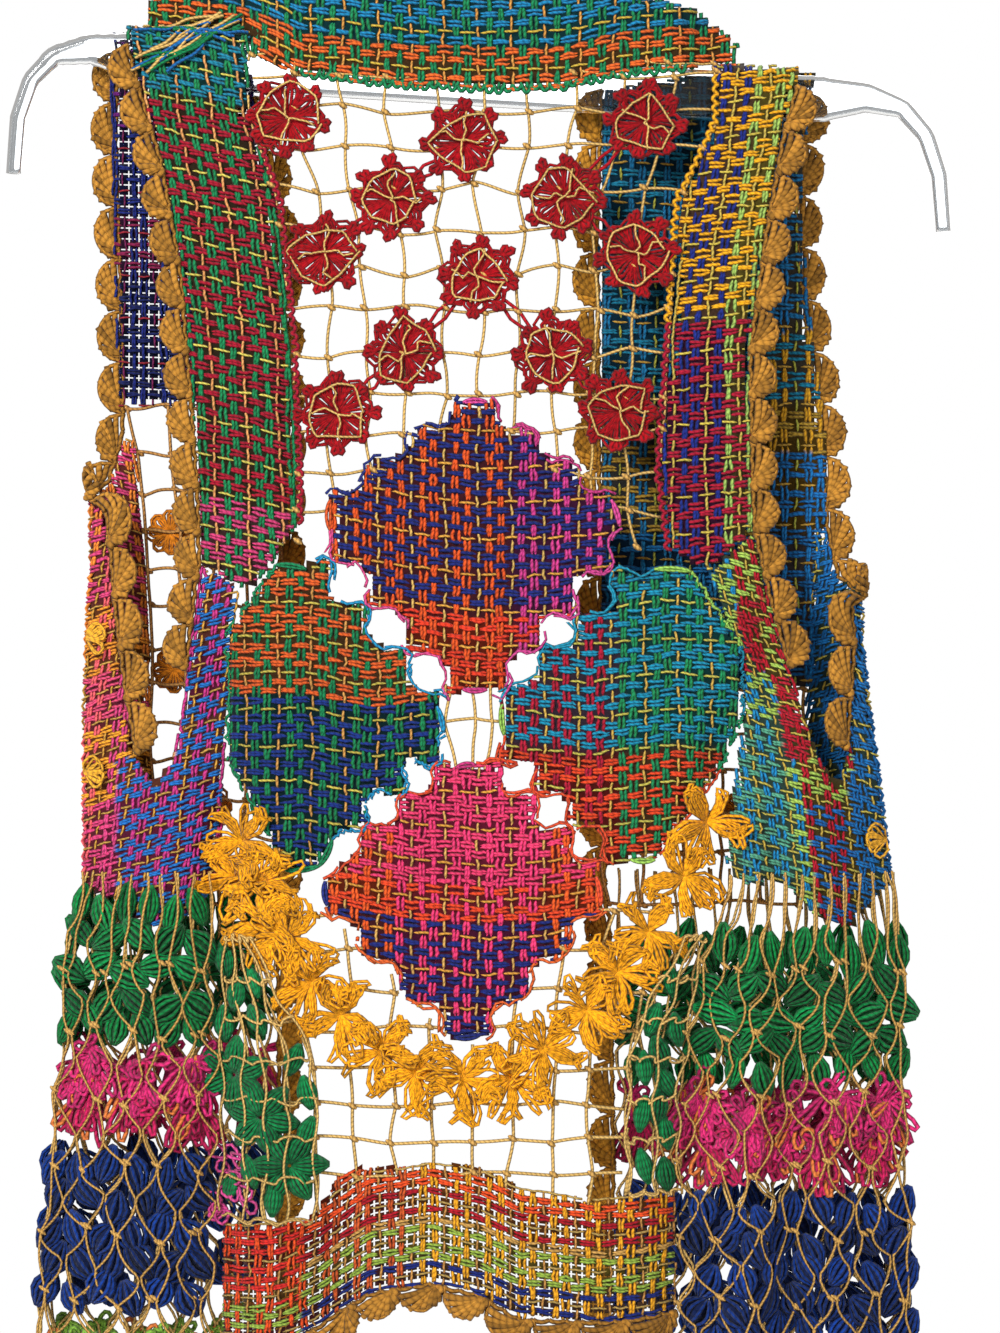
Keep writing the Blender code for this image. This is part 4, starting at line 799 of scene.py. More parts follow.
lines, crossings = square_net(
    [(-84, 460), (-76, 540), (-74, 616)], [(84, 460), (70, 540), (68, 616)],
    [474, 492, 510, 528, 546, 562, 578, 594, 612], 8, 2.0)
garland_net = made("back_garland_net_yarns", [
    netted(lines, BACK, 0.8, TAN, keep_in=GARLAND_OUTLINE, seed=6),
    knotted(crossings, BACK, 1.2, KNOT, keep_in=GARLAND_OUTLINE)], TWISTED)
gold_rng = np.random.default_rng(42)
gold_parts = []
for place in GARLAND:
    turn = gold_rng.uniform(0, 1.2)
    x, drop = place + gold_rng.uniform(-2.5, 2.5, 2)
    gold_parts.append(wound_flower(x, drop, 8, 4, 21.5, 4.8, BACK, 0.8, "F8A812", gold_rng,
                                   lift=0.8, rise=4.0, turn=turn, ragged=0.2, droop=1.5, curl=0.6))
gold_flowers = made("back_flowers_gold", gold_parts, SOFT)
worn("garland_yarn", garland_net, gold_flowers)
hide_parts("back_garland_net")

# Leaf nets
# Tan nets beside the garland, filled with green puffs: soft strands tied at both ends, some of
# them set like the petals of a flower.
LEAF_PUFFS = (
    # x, drop, length, width, degrees
    (-117, 497, 17, 9, 80), (-111, 512, 16, 9, 100), (-117, 526, 17, 10, 85), (-103, 506, 15, 8, 70),
    (-101, 523, 15, 9, 60), (-84, 541, 15, 9, 110), (-78, 556, 16, 9, 75), (-78, 574, 15, 9, 110),
    (-104, 592, 16, 9, 70), (-93, 604, 16, 9, 95), (-114, 600, 14, 8, 100),
    (88, 505, 16, 8, 80), (80, 523, 16, 9, 110), (91, 528, 16, 9, 80), (76, 545, 16, 8, 85),
    (86, 552, 17, 9, 60), (75, 566, 17, 8, 100), (86, 575, 16, 9, 80), (76, 590, 17, 8, 75),
    (83, 538, 17, 10, 70), (82, 563, 17, 10, 95), (86, 594, 16, 10, 80),
)
LEAF_STARS = (
    # x, drop, turn
    (-99, 567, 0.2), (-112, 549, 0.6), (-86, 589, 0.0),
)
STAR_REACH, STAR_LENGTH, STAR_WIDTH = 9.5, 17, 10.5


def puffed(x, drop, length, width, degrees, surface, radius, colour, lift, strands, steps=7, deep=0.8):
    """Puffs: strands from tie to tie round an oval, with a dark core of painted shade inside.

    The oval's bulge is width / 2, less the strand, times sin(pi (0.08 + 0.84 t))^1.3. A strand at
    angle a round it lies bulge * sin(a) aside and deep * bulge * (0.3 + cos(a)) over its lift.
    """
    x, drop, length, width, degrees, lift = (
        np.asarray(a, dtype=float).reshape(-1, 1, 1) for a in (x, drop, length, width, degrees, lift))
    t = np.linspace(0.0, 1.0, steps)
    round_way = 2.0 * math.pi * np.arange(strands)[:, None] / strands
    bulge = (width / 2 - radius * 0.6) * np.sin(math.pi * (0.08 + 0.84 * t)) ** 1.3
    out, aside = length * (t - 0.5), bulge * np.sin(round_way)
    cosine, sine = np.cos(np.radians(degrees)), np.sin(np.radians(degrees))
    strand = surface(x + out * cosine - aside * sine, drop + out * sine + aside * cosine,
                     lift + deep * bulge * (0.3 + np.cos(round_way)))
    single = np.asarray(colour, dtype=float).reshape(-1, 3)
    colour = np.repeat(single, strands, axis=0)
    colour = colour * (0.72 + 0.46 * ((np.arange(len(colour)) * 0.618) % 1.0))[:, None]
    # Painted shade: a core at 0.4 of the dye fills the puff behind its strands.
    middle = surface(x + out * cosine, drop + out * sine, lift + deep * bulge * 0.3)
    return [spun(strand, radius * (0.55 + 0.45 * np.sin(math.pi * t))[None], colour),
            spun(middle, 0.6 * bulge, single * 0.4)]


leaf = list(LEAF_PUFFS)
for x, drop, turn in LEAF_STARS:
    leaf += [(x + STAR_REACH * math.cos(a), drop + STAR_REACH * math.sin(a), STAR_LENGTH, STAR_WIDTH,
              math.degrees(a)) for a in turn + 2 * math.pi * np.arange(6) / 6]
leaf_rng = np.random.default_rng(45)
leaf_dye = dye("067A40") * leaf_rng.uniform(0.75, 1.2, (len(leaf), 1))
leaf_puffs = made("back_leaf_puffs", puffed(
    *np.array(leaf).T, BACK, 0.95, leaf_dye, leaf_rng.uniform(0.6, 2.6, len(leaf)), 14), SOFT)
leaf_net_parts = []
for left, right, columns, levels, seed in (
        ([(-118, 480), (-118, 620)], [(-107, 483), (-88, 515), (-76, 540), (-75, 618)], 4,
         [487, 505, 523, 541, 559, 577, 595, 614], 7),
        ([(98, 485), (77, 516), (69, 543), (69, 604)], [(104, 486), (96, 520), (92, 560), (91, 604)], 2,
         [487, 505, 523, 541, 559, 577, 602], 8)):
    lines = square_net(left, right, levels, columns)[0]
    leaf_net_parts += [netted(lines, BACK, 0.62, TAN, height=0.4, wave=1.2, seed=seed),
                       netted(lines, BACK, 0.62, TAN, height=6.2, wave=1.3, steps=44, seed=seed + 1)]
leaf_net = made("back_leaf_net_yarns", leaf_net_parts, TWISTED)
pink_rng = np.random.default_rng(43)
count = 16
centre = np.stack([pink_rng.uniform(-118, -108, count), pink_rng.uniform(584, 612, count)], axis=1)
leaf_pinks = made("back_leaf_pinks", [looped(
    centre, pink_rng.uniform(0, 6.28, count), pink_rng.uniform(6, 10, count), pink_rng.uniform(4, 7, count),
    BACK, 0.8, dye("E04E96") * pink_rng.uniform(0.7, 1.1, (count, 1)), 1.5, 2.5)], SOFT)
worn("puff_yarn", leaf_net, leaf_puffs, leaf_pinks)
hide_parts("back_leaf_net_left", "back_leaf_net_right")

# Hem band of the back
# A loom-woven band, slack and wavy along its lower edge, in red, tan, lime and navy wefts. It is
# loosely beaten, so that light shows through.
HEM_UNDER = [(91, 658), (56, 661), (19, 659), (1, 648), (-22, 643), (-50, 648), (-72, 663),
             (-92, 673), (-118, 676)]
hem_band = woven(
    "back_hem_band", "hem_weave",
    [(-118, 616), (-75, 613.5)] + [(x, d - 2) for x, d in HEM_TOP[1:]] + [(91, 602)] + HEM_UNDER, BACK,
    warp=[(-72, "EE5420"), (-34, "CC5826"), (120, "EAA420")],
    weft=[(600, "E85020"), (610, "B01626"), (615, "D0A054"), (631, "98B446"), (700, "1A2A78")],
    lone_warp="C8904A", lone_weft="C0A058", pitch=(5.0, 4.2), seed=51, gap=0.16, gauge=0.86,
    sag=((-118, 30), (-92, 27), (-72, 20), (-50, 5), (-22, 0), (1, 4), (19, 12), (56, 17), (91, 14)),
    patches=[(-119, -80, 610, 652, "F05420", "D82C26"), (-119, -80, 652, 680, "E8501E", "9CB84A")])

# Side panels
# Loom-woven gussets that wrap round from the back to the fronts under each armhole. Blue, red and
# lime on the right, pink, orange and blue on the left.
FOLD_TURN = 3.15


def fold_x(side, drop):
    """The x of the side fold, left (-1) or right (1), at a drop."""
    return read_table(SIDE_FOLDS, drop, 1 if side < 0 else 2)


def folded_side(side):
    """Surface round a side fold: s runs from the back, below 0, to the front, above 0.

    A point lies |s| - FOLD_HALF in from the fold. Round the fold it is a mix of the two layers, by
    s / FOLD_HALF, and the way out turns from back to front by s / FOLD_TURN. From 2 mm in, the way
    out is the layer's own.
    """
    def surface(s, drop, height=0.0):
        inward = np.maximum(np.abs(s) - FOLD_HALF, 0.0)
        x = fold_x(side, drop) - side * inward
        share = np.clip(s / FOLD_HALF, -1.0, 1.0)[..., None]
        points = BACK(x, drop)[0] * (1.0 - share) / 2 + FRONT(x, drop)[0] * (1.0 + share) / 2
        turn = np.clip(s / FOLD_TURN, -1.0, 1.0)
        way = np.stack([side * np.sqrt(1.0 - turn ** 2), turn, np.zeros_like(s)], axis=-1)
        layer_way = np.where((s < 0)[..., None], BACK(x, drop)[1], FRONT(x, drop)[1])
        way = np.where((inward > 2.0)[..., None], layer_way, way)
        return points + way * np.expand_dims(height + np.zeros_like(s), -1), way

    return surface


LEFT_SIDE = folded_side(-1)
RIGHT_SIDE = folded_side(1)


def round_side(side, rows):
    """(layer, x, drop) rows as (s, drop): s is the distance in from the fold, below 0 at the back."""
    points = []
    for index, (layer, x, drop) in enumerate(rows):
        run = [(x, drop)]
        if index + 1 < len(rows) and rows[index + 1][0] == layer:
            _, x1, d1 = rows[index + 1]
            levels = [row[0] for row in SIDE_FOLDS if min(drop, d1) + 2 < row[0] < max(drop, d1) - 2]
            levels.sort(reverse=d1 < drop)
            run += [(x + (x1 - x) * (d - drop) / (d1 - drop), float(d)) for d in levels]
        for place, level in run:
            inward = abs(float(fold_x(side, level)) - place)
            points.append(((inward + FOLD_HALF) * (-1 if layer == "back" else 1), level))
    return points


SIDE_LEFT_ARM = [
    ("front", -166, 255), ("front", -172, 276), ("back", -173, 290), ("back", -171, 308),
    ("back", -169, 331), ("back", -166, 354), ("back", -163, 377), ("back", -158, 402),
    ("back", -149, 417), ("back", -141, 404), ("back", -136, 380), ("back", -133, 350), ("back", -130, 325)]
side_left_rows = SIDE_LEFT_ARM + [
    ("back", -127.7, 313.6), ("back", -109.3, 326.6), ("back", -114, 352), ("back", -117.6, 404),
    ("back", -119, 455), ("back", -128, 474), ("back", -151, 482), ("back", -165, 471),
    ("back", -180, 464), ("front", -180, 464), ("front", -160, 470), ("front", -150, 466),
    ("front", -152, 400), ("front", -154, 330), ("front", -158, 280), ("front", -160, 255)]
SIDE_RIGHT_ARM = [
    ("front", 162, 296), ("front", 167, 320), ("back", 173.5, 334), ("back", 175, 349),
    ("back", 173, 377), ("back", 171, 400), ("back", 166, 419), ("back", 157, 404),
    ("back", 148, 377), ("back", 141, 354), ("back", 134.5, 331), ("back", 128.6, 306)]
side_right_rows = SIDE_RIGHT_ARM + [
    ("back", 127, 299.6), ("back", 106.5, 318.6), ("back", 113.6, 340), ("back", 121.9, 352),
    ("back", 122.7, 384), ("back", 116, 430), ("back", 114, 452), ("back", 122, 462),
    ("back", 140, 460), ("back", 152, 474), ("back", 170, 483), ("back", 189, 464),
    ("front", 189, 464), ("front", 160, 470), ("front", 152, 400), ("front", 154, 330), ("front", 156, 296)]
side_left = woven(
    "side_panel_left", "magenta_weave", round_side(-1, side_left_rows), LEFT_SIDE,
    warp=[(-60, "CE3A86"), (-30, "D84480"), (-12, "F0626A"), (60, "F48C34")],
    weft=[(330, "D8447A"), (366, "F49C30"), (392, "E8507A"), (428, "F4A42E"), (500, "E0447E")],
    lone_warp="D8A040", lone_weft="CCA04C", lean=0.30, follow=((250, 0), (480, 24)), pitch=(4.5, 3.6),
    gauge=0.87, seed=52,
    patches=[(-80, -44, 300, 404, "C83884", "2272C4"), (-80, -17, 404, 490, "C83884", "2272C4")])
side_right = woven(
    "side_panel_right", "blue_weave", round_side(1, side_right_rows), RIGHT_SIDE,
    warp=[(-62, "1C86BE"), (-31, "B4182A"), (60, "1A72B4")],
    weft=[(500, "A4C456")], lone_warp="CFB048", lone_weft="C8B850", lean=0.30,
    follow=((300, -6), (345, 2), (377, 14), (400, 22), (480, 22)), pitch=(4.5, 3.6), gauge=0.87, seed=53,
    patches=[(-22, 60, 290, 360, "1668AC", "1872B8"), (-13, 60, 360, 410, "1668AC", "1872B8"),
             (-18, 60, 410, 490, "1668AC", "1872B8"), (-38, -18, 425, 490, "AE142A", "1664AE"),
             (-80, -44, 385, 470, "1C86BE", "58A486"), (-60, -48, 330, 364, "AE1024", "B61E30"),
             (-44, -30, 364, 404, "AE1024", "B61E30")])

# Skirts
# Gathered tan nets at the sides, in a back and a front half each. Rows of green and navy puffs
# and tangles of pink and lime loops, a few of them orange, are knotted into their strings.
SKIRT_TOP, SKIRT_END = 457.0, 699.0
LEFT_FOLD, RIGHT_FOLD = ([(row[column], row[0]) for row in SIDE_FOLDS if row[0] > 460] for column in (1, 2))
SKIRTS = (
    # name, surface, fold line, inner edge, seed
    ("back_skirt_left", BACK, LEFT_FOLD, [(-120, 466), (-120, 600), (-120, SKIRT_END)], 61),
    ("back_skirt_right", BACK, RIGHT_FOLD,
     [(112, 464), (104.6, 486), (96.6, 520), (92.6, 560), (91.8, 604), (91.8, 660), (96, SKIRT_END)], 62),
    ("front_skirt_left", FRONT, LEFT_FOLD, [(-97, 466), (-94, 600), (-96, SKIRT_END)], 63),
    ("front_skirt_right", FRONT, RIGHT_FOLD, [(61, 466), (64, 600), (60, SKIRT_END)], 64),
)
LEFT_SLIP, RIGHT_SLIP = -5.0, 15.0
STRING_EVERY, KNOT_EVERY = 8.6, 15.4
PUFF_DEEP = 0.62
DROOPING, ORANGE = 0.72, 0.12
PUFF_ROWS = (
    # drop, puffs in 100 mm, length, width, shift, tilt, sway, dye
    (478, 8.5, 20, 11.0, 0.0, 90, 8, "07853F"),
    (493, 7.5, 19, 13.0, 0.5, 0, 42, "07773A"),
    (507, 7.0, 20, 14.5, 0.0, 0, 25, "088C46"),
    (520, 7.5, 19, 13.0, 0.5, 0, 40, "07773A"),
    (533, 8.0, 17, 11.0, 0.0, 90, 22, "07853F"),
    (598, 7.2, 18, 14.0, 0.0, 90, 24, "0A3688"),
    (612, 7.2, 18, 15.0, 0.5, 90, 30, "092A6C"),
    (626, 6.9, 19, 15.5, 0.0, 90, 22, "0A3688"),
    (641, 6.9, 18, 15.5, 0.5, 90, 32, "092A6C"),
    (655, 6.9, 18, 14.5, 0.0, 90, 24, "0A3688"),
)
LOOP_ROWS = (
    # drop, clusters in 100 mm, loops in each, reach, dye
    (547, 4.7, 34, 24.0, "DA2C74"),
    (563, 4.3, 28, 22.0, "C41C58"),
    (676, 5.8, 26, 12.0, "86B644"),
)


def gathered(surface, fold, inner, rng):
    """Strings of a gathered net: string i at knot k lies at (i + 0.5 + 0.42 (-1)^(i + k)) pitches.

    From one knot to the next it goes across as t^2, so it hangs in scallops. A slow sine of the
    place moves each knot a little, so that no two meshes are alike. The net is laid twice, under
    the puffs and over them.
    """
    drops = np.concatenate([np.linspace(SKIRT_TOP, 500, 4), np.arange(514, SKIRT_END + 1, KNOT_EVERY)])
    strings = max(6, round(abs(edge_x(fold, 560.0) - edge_x(inner, 560.0)) / STRING_EVERY))
    knots = np.arange(len(drops))
    fine = np.linspace(0, len(drops) - 1.001, 5 * (len(drops) - 1) + 1)
    knot, part = fine.astype(int), fine % 1.0
    spread, slack = smooth_step(470, 515, drops), smooth_step(470, 500, drops)
    lines = []
    for i in range(-1 if surface is BACK else 0, strings):
        share = (i + 0.5 + 0.42 * spread * (-1.0) ** (i + knots)) / strings
        share = np.maximum(share + rng.uniform(-0.1, 0.1, len(drops)) / strings, 0.0)
        x = edge_x(fold, drops) + (edge_x(inner, drops) - edge_x(fold, drops)) * share
        down = drops + 3.0 * slack * np.sin(x / 10 + drops / 13)
        x = x + 1.9 * slack * np.sin(drops / 9 + x / 6)
        lines.append(np.stack([x[knot] + (x[knot + 1] - x[knot]) * part ** 2,
                               down[knot] + (down[knot + 1] - down[knot]) * part], axis=1))
    ties = [place for line in lines for place in line[15::5]]
    return [netted(lines, surface, 0.66, TAN, height=0.6, steps=52, wave=0.55, seed=strings),
            netted(lines, surface, 0.6, "C89A50", height=6.8, steps=80, wave=0.9, seed=strings + 1),
            knotted(ties[::2], surface, 1.0, KNOT, 6.6)]


def in_row(fold, inner, drop, dense, least, first):
    """Each x in a row from the fold to the inner edge: dense of them in 100 mm, no fewer than least."""
    start, end = float(edge_x(fold, drop)), float(edge_x(inner, drop))
    number = max(least, round(abs(end - start) * dense / 100))
    return start + (end - start) * (np.arange(number) + first) / number


for name, surface, fold, inner, seed in SKIRTS:
    rng = np.random.default_rng(seed)
    round_fold, slip = (LEFT_SIDE, LEFT_SLIP) if fold is LEFT_FOLD else (RIGHT_SIDE, RIGHT_SLIP)
    string_parts = gathered(surface, fold, inner, rng)
    if surface is BACK:
        levels = np.linspace(SKIRT_TOP, SKIRT_END, 9)
        fold_line = np.array([[2.5 * (-1.0) ** k, level] for k, level in enumerate(levels)])
        string_parts.append(netted([fold_line, fold_line * [-1.0, 1.0]], round_fold, 0.64, TAN,
                                   height=0.8, steps=60, seed=seed))
    parts = []
    strands, fewer = (11, 0.85) if surface is BACK else (7, 0.42)
    for drop, dense, length, width, shift, tilt, sway, text in PUFF_ROWS:
        drop = drop + slip
        place = in_row(fold, inner, drop, dense, 4, 0.12 + shift * 0.6)
        number = len(place)
        tall = length * rng.uniform(0.85, 1.12, number)
        wide = width * rng.uniform(0.8, 1.12, number)
        lean = tilt + sway * (-1.0) ** np.arange(number) + rng.uniform(-14, 14, number)
        shade = dye(text) * rng.uniform(0.7, 1.25, (number, 1))
        parts += puffed(place, drop + rng.uniform(-4, 4, number), tall, wide, lean, surface, 1.0, shade,
                        rng.uniform(0.3, 2.6, number), strands, steps=6, deep=PUFF_DEEP)
        if surface is BACK:
            parts += puffed(0.0, drop, length, 10.5, 90.0, round_fold, 1.0, dye(text) * 0.95, -2.5, 6,
                            steps=6, deep=PUFF_DEEP)
    for drop, dense, all_loops, reach, text in LOOP_ROWS:
        loops = round(all_loops * fewer)
        place = in_row(fold, inner, drop, dense, 3, 0.5)
        top = np.stack([place, drop + slip + rng.uniform(-4, 4, len(place))], axis=1)
        total = len(place) * loops
        drooping = rng.random(total) < DROOPING
        centre = np.repeat(top, loops, axis=0) + rng.uniform(-1, 1, (total, 2)) * [4.5, 2.5]
        shade = dye(text) * rng.uniform(0.6, 1.2, (total, 1))
        shade = np.where(rng.random((total, 1)) < ORANGE, dye("E07C3C"), shade)
        angle = np.where(drooping, rng.normal(1.57, 0.36, total), rng.uniform(0, 6.28, total))
        far = np.where(drooping, 1.0, 0.5) * reach * rng.uniform(0.65, 1.1, total)
        parts.append(looped(centre, angle, far, rng.uniform(2.5, 5.5, total), surface, 1.12, shade, 1.0,
                            rng.uniform(2.0, 6.0, (total, 1))))
    strings = made(name + "_strings", string_parts, TWISTED)
    puffs = made(name + "_puffs", parts, SOFT)
    worn("puff_yarn", strings, puffs)
    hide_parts(name)

# Fronts
# At each side a loom-woven strip from the shoulder, blue and navy, then a tan net with small
# orange flowers, down to the skirt. They hang open, seen through the back's net.
FRONT_LEFT_ARM = [(-168, 66), (-169, 115), (-168, 147), (-166, 216), (-165.6, 240)]
FRONT_RIGHT_ARM = [(154, 85.6), (150, 115), (148, 147), (150, 179), (153, 207), (158, 239),
                   (161, 271), (162, 295)]
weave_left = woven(
    "front_weave_left", "navy_weave",
    [(x - 3, d) for x, d in FRONT_LEFT_ARM] + [(-93, 240), (-96, 160), (-104, 110), (-107, 69.3)], FRONT,
    warp=[(-150, "1A2674"), (-90, "1E2C7C")],
    weft=[(112, "6A1E74"), (150, "1E2C7C"), (178, "8A1E4C"), (300, "18225E")],
    lone_warp="7A1E56", lone_weft="A02838", lean=0.03, pitch=(4.6, 5.0), seed=71, gap=0.12, gauge=0.78)
weave_right = woven(
    "front_weave_right", "blue_weave",
    [(x + 3, d) for x, d in FRONT_RIGHT_ARM]
    + [(160.5, 295.4), (158.5, 330), (156.8, 372), (58, 372), (56, 160), (58, 92), (107, 82.7)], FRONT,
    warp=[(0, "1A72B0"), (130, "1870A0"), (170, "C8921E")],
    weft=[(240, "167898"), (300, "A8862E"), (400, "1A72B0")],
    lone_warp="A8A840", lone_weft="C0963C", lean=0.03, pitch=(5.5, 4.6), seed=72,
    patches=[(136, 170, 90, 205, "1A72B0", "1A6CA0"), (136, 170, 262, 380, "1A72B4", "1A6CB0")])
LACE = (
    # name, left edge, right edge, levels, columns, flowers, seed
    ("front_lace_left",
     [(-165.4, 240.6), (-166, 254.4), (-159.4, 262), (-153.4, 330), (-151.4, 400), (-148.4, 473)],
     [(-93, 240.6), (-94, 330), (-96, 473)],
     [241, 262, 280, 298, 316, 334, 352, 370, 388, 406, 424, 442, 460, 473], 4,
     [(-144, 299), (-116, 299), (-142, 363), (-113, 363), (-127, 428)], 73),
    ("front_lace_right", [(58, 372.6), (60, 473)], [(151.8, 372.6), (151.2, 400), (150.4, 473)],
     [373, 394, 412, 430, 448, 473], 5, [(90, 412), (124, 430)], 74),
)
for name, left, right, levels, columns, flowers, seed in LACE:
    rng = np.random.default_rng(seed)
    lines, crossings = square_net(left, right, levels, columns)
    net = made(name + "_yarns", [netted(lines, FRONT, 0.8, "C08A4A", wave=0.7, seed=seed),
                                 knotted(crossings, FRONT, 1.2, "B8823E")], TWISTED)
    blooms = made(name + "_flowers", [
        wound_flower(*place, 8, 4, 11.0, 6.5, FRONT, 0.75, "D07A14", rng, 0.8, 2.4)
        for place in flowers], SOFT)
    worn("net_yarn", net, blooms)
    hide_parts(name)

# Side loops
# Fans of nine small yellow loops, sewn to the side panels on the back's side of the fold, two at
# the left and one at the right.
loops_rng = np.random.default_rng(75)
fans = []
for drop, side in ((349, LEFT_SIDE), (411, LEFT_SIDE), (442, RIGHT_SIDE)):
    angle = np.radians(180.0 - 60.0 + loops_rng.uniform(0, 120, 9))
    fans.append(looped([[-2.0, drop]] * 9, angle, [9.0] * 9, [5.0] * 9, side, 0.7,
                       dye("F0B030") * loops_rng.uniform(0.8, 1.1, (9, 1)), 1.0, 4.0))
side_loops = made("side_yellow_loops", fans, SOFT)
worn("garland_yarn", side_loops)

# Shell edgings
# Ochre cotton crocheted in fans of trebles along every free edge: armholes, front edges and hem.
# Each fan rises from one stitch and ends in a rim of small chains.
CROCHET = cotton("crochet_cotton", 3.2, 0.88, 0.06, 0.0006)
SHELL = 13.0


def crochet_shells(node, line, surface, count, way, seed, text="B07A2C"):
    """Shells along a line: nine trebles fan from a stitch at each shell's lower end to its rim.

    The rim is half an oval, out SHELL * 0.86 * sin(turn)^0.7, closed by one more strand. Each
    treble bows a little and swells to its tip. Small chains, three to a shell, follow the line.
    """
    rng = np.random.default_rng(seed)
    posts, foot_share = 9, 0.84
    turn = np.radians(np.linspace(8.0, 176.0, posts))[:, None]
    t = np.linspace(0.0, 1.0, 6)
    shell = np.arange(count)[:, None, None]
    tip_share = 0.5 - 0.49 * np.cos(turn) + rng.uniform(-0.03, 0.03, (count, posts, 1))
    share = (shell + foot_share + (tip_share - foot_share) * t) / count
    reach = SHELL * 0.86 * np.sin(turn) ** 0.7 * rng.uniform(0.93, 1.06, (count, posts, 1))
    reach = reach * t + 1.1 * np.sin(math.pi * t) * np.cos(turn) + 0.7
    place, out = along_line(line, share, 9.0)
    place = place + out * way * reach[..., None]
    lift = 0.3 + rng.uniform(0.0, 0.9, (count, posts, 1)) + 1.6 * np.sin(math.pi * t * 0.8)
    size = rng.uniform(0.9, 1.15, (count, posts, 1)) * (0.62 + 0.95 * np.sin(math.pi * t * 0.72))
    shade = dye(text) * rng.uniform(0.5, 1.2, (count, posts, 1))
    trebles = spun(surface(place[..., 0], place[..., 1], lift), size, shade.reshape(-1, 3), sides=6)
    rim = arcs(line, surface, count, SHELL * 0.88, way, 1.05, dye(text) * 1.1, height=1.2, steps=13,
               swell=0.45)
    chains = arcs(line, surface, count * 3, 0.9, way, 1.1, dye(text) * 0.8, height=0.3, steps=5, rng=rng)
    piece = made(node.replace("edging", "shells"), [trebles, rim, chains], CROCHET)
    worn("edging_yarn", piece)
    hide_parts(node)
    return piece


strap_left_rows = [("back", x, d) for x, d in [(-162, 74)] + STRAP_LEFT_OUT[1:]]
left_inner = strap_left_rows + [("back", -130, 325), ("back", -133, 350), ("back", -134.5, 363)]
left_outer = [("front", x, d) for x, d in [(-168, 74)] + FRONT_LEFT_ARM[1:]] + SIDE_LEFT_ARM[:8]
strap_right_rows = [("back", x, d) for x, d in [(147, 93)] + STRAP_RIGHT_OUT[1:]]
right_inner = strap_right_rows[:-1] + [("back", 127, 299), ("back", 128.6, 306), ("back", 134.5, 331),
                                       ("back", 141, 354), ("back", 143.4, 362)]
right_outer = [("front", x, d) for x, d in [(153.6, 93)] + FRONT_RIGHT_ARM[1:]] + SIDE_RIGHT_ARM[:6]
front_left_line = [(-105, 96), (-96, 160), (-93, 240), (-94, 330), (-96, 473), (-94, 600), (-96, SKIRT_END)]
front_right_line = [(58, 92), (56, 160), (58, 372), (60, 473), (62, 480), (64, 600), (60, SKIRT_END)]
EDGES = (
    # node, line, surface, shells, way out, seed
    ("arm_edging_left_back", round_side(-1, left_inner), LEFT_SIDE, 14, 1, 81),
    ("arm_edging_left_front", round_side(-1, left_outer), LEFT_SIDE, 14, -1, 82),
    ("arm_edging_right_back", round_side(1, right_inner), RIGHT_SIDE, 13, 1, 83),
    ("arm_edging_right_front", round_side(1, right_outer), RIGHT_SIDE, 13, -1, 84),
    ("front_edging_left", front_left_line, FRONT, 24, 1, 85, "C88C2C"),
    ("front_edging_right", front_right_line, FRONT, 24, -1, 86, "C88C2C"),
    ("hem_edging", HEM_UNDER[::-1], BACK, 10, -1, 87),
)
edged = {row[0]: crochet_shells(*row) for row in EDGES}

# Loose ends at the left shoulder
# Green, blue and tan yarns left hanging where the neck band is sewn to the strap. They lie across
# the shoulder in slack lines.
loose_rng = np.random.default_rng(14)
loose_parts = []
for text, number in (("0E7A46", 8), ("1866A8", 7), (TAN, 7)):
    starts = np.stack([loose_rng.uniform(-126, -106, number), loose_rng.uniform(58, 74, number)], axis=1)
    ends = np.stack([loose_rng.uniform(-164, -140, number), loose_rng.uniform(66, 88, number)], axis=1)
    lines = [[a, (a + b) / 2 + loose_rng.uniform(-3, 3, 2), b] for a, b in zip(starts, ends)]
    loose_parts.append(netted(lines, BACK, 0.85, text, height=2.4, steps=16, wave=0.8, seed=number))
loose_ends = made("shoulder_strands_left", loose_parts, TWISTED)
worn("strap_weave", loose_ends)

# Hanger
# A clear moulded plastic bar with a round top, fine ribs on its shoulders and ends that turn
# down, and a hook of bent wire set into its middle.
BAR_STATIONS = (
    # distance from the middle, drop under the shoulder line, height, depth
    (0, 13.5, 24.0, 10.2), (120, 13.5, 24.0, 10.2), (160, 12.0, 21.0, 10.2), (180, 10.0, 14.0, 9.0),
    (197, 14.0, 9.0, 8.0), (208, 26.0, 8.0, 7.0), (214, 44.0, 7.5, 6.5), (216, 70.0, 7.0, 6.0),
)
RIB = 0.3


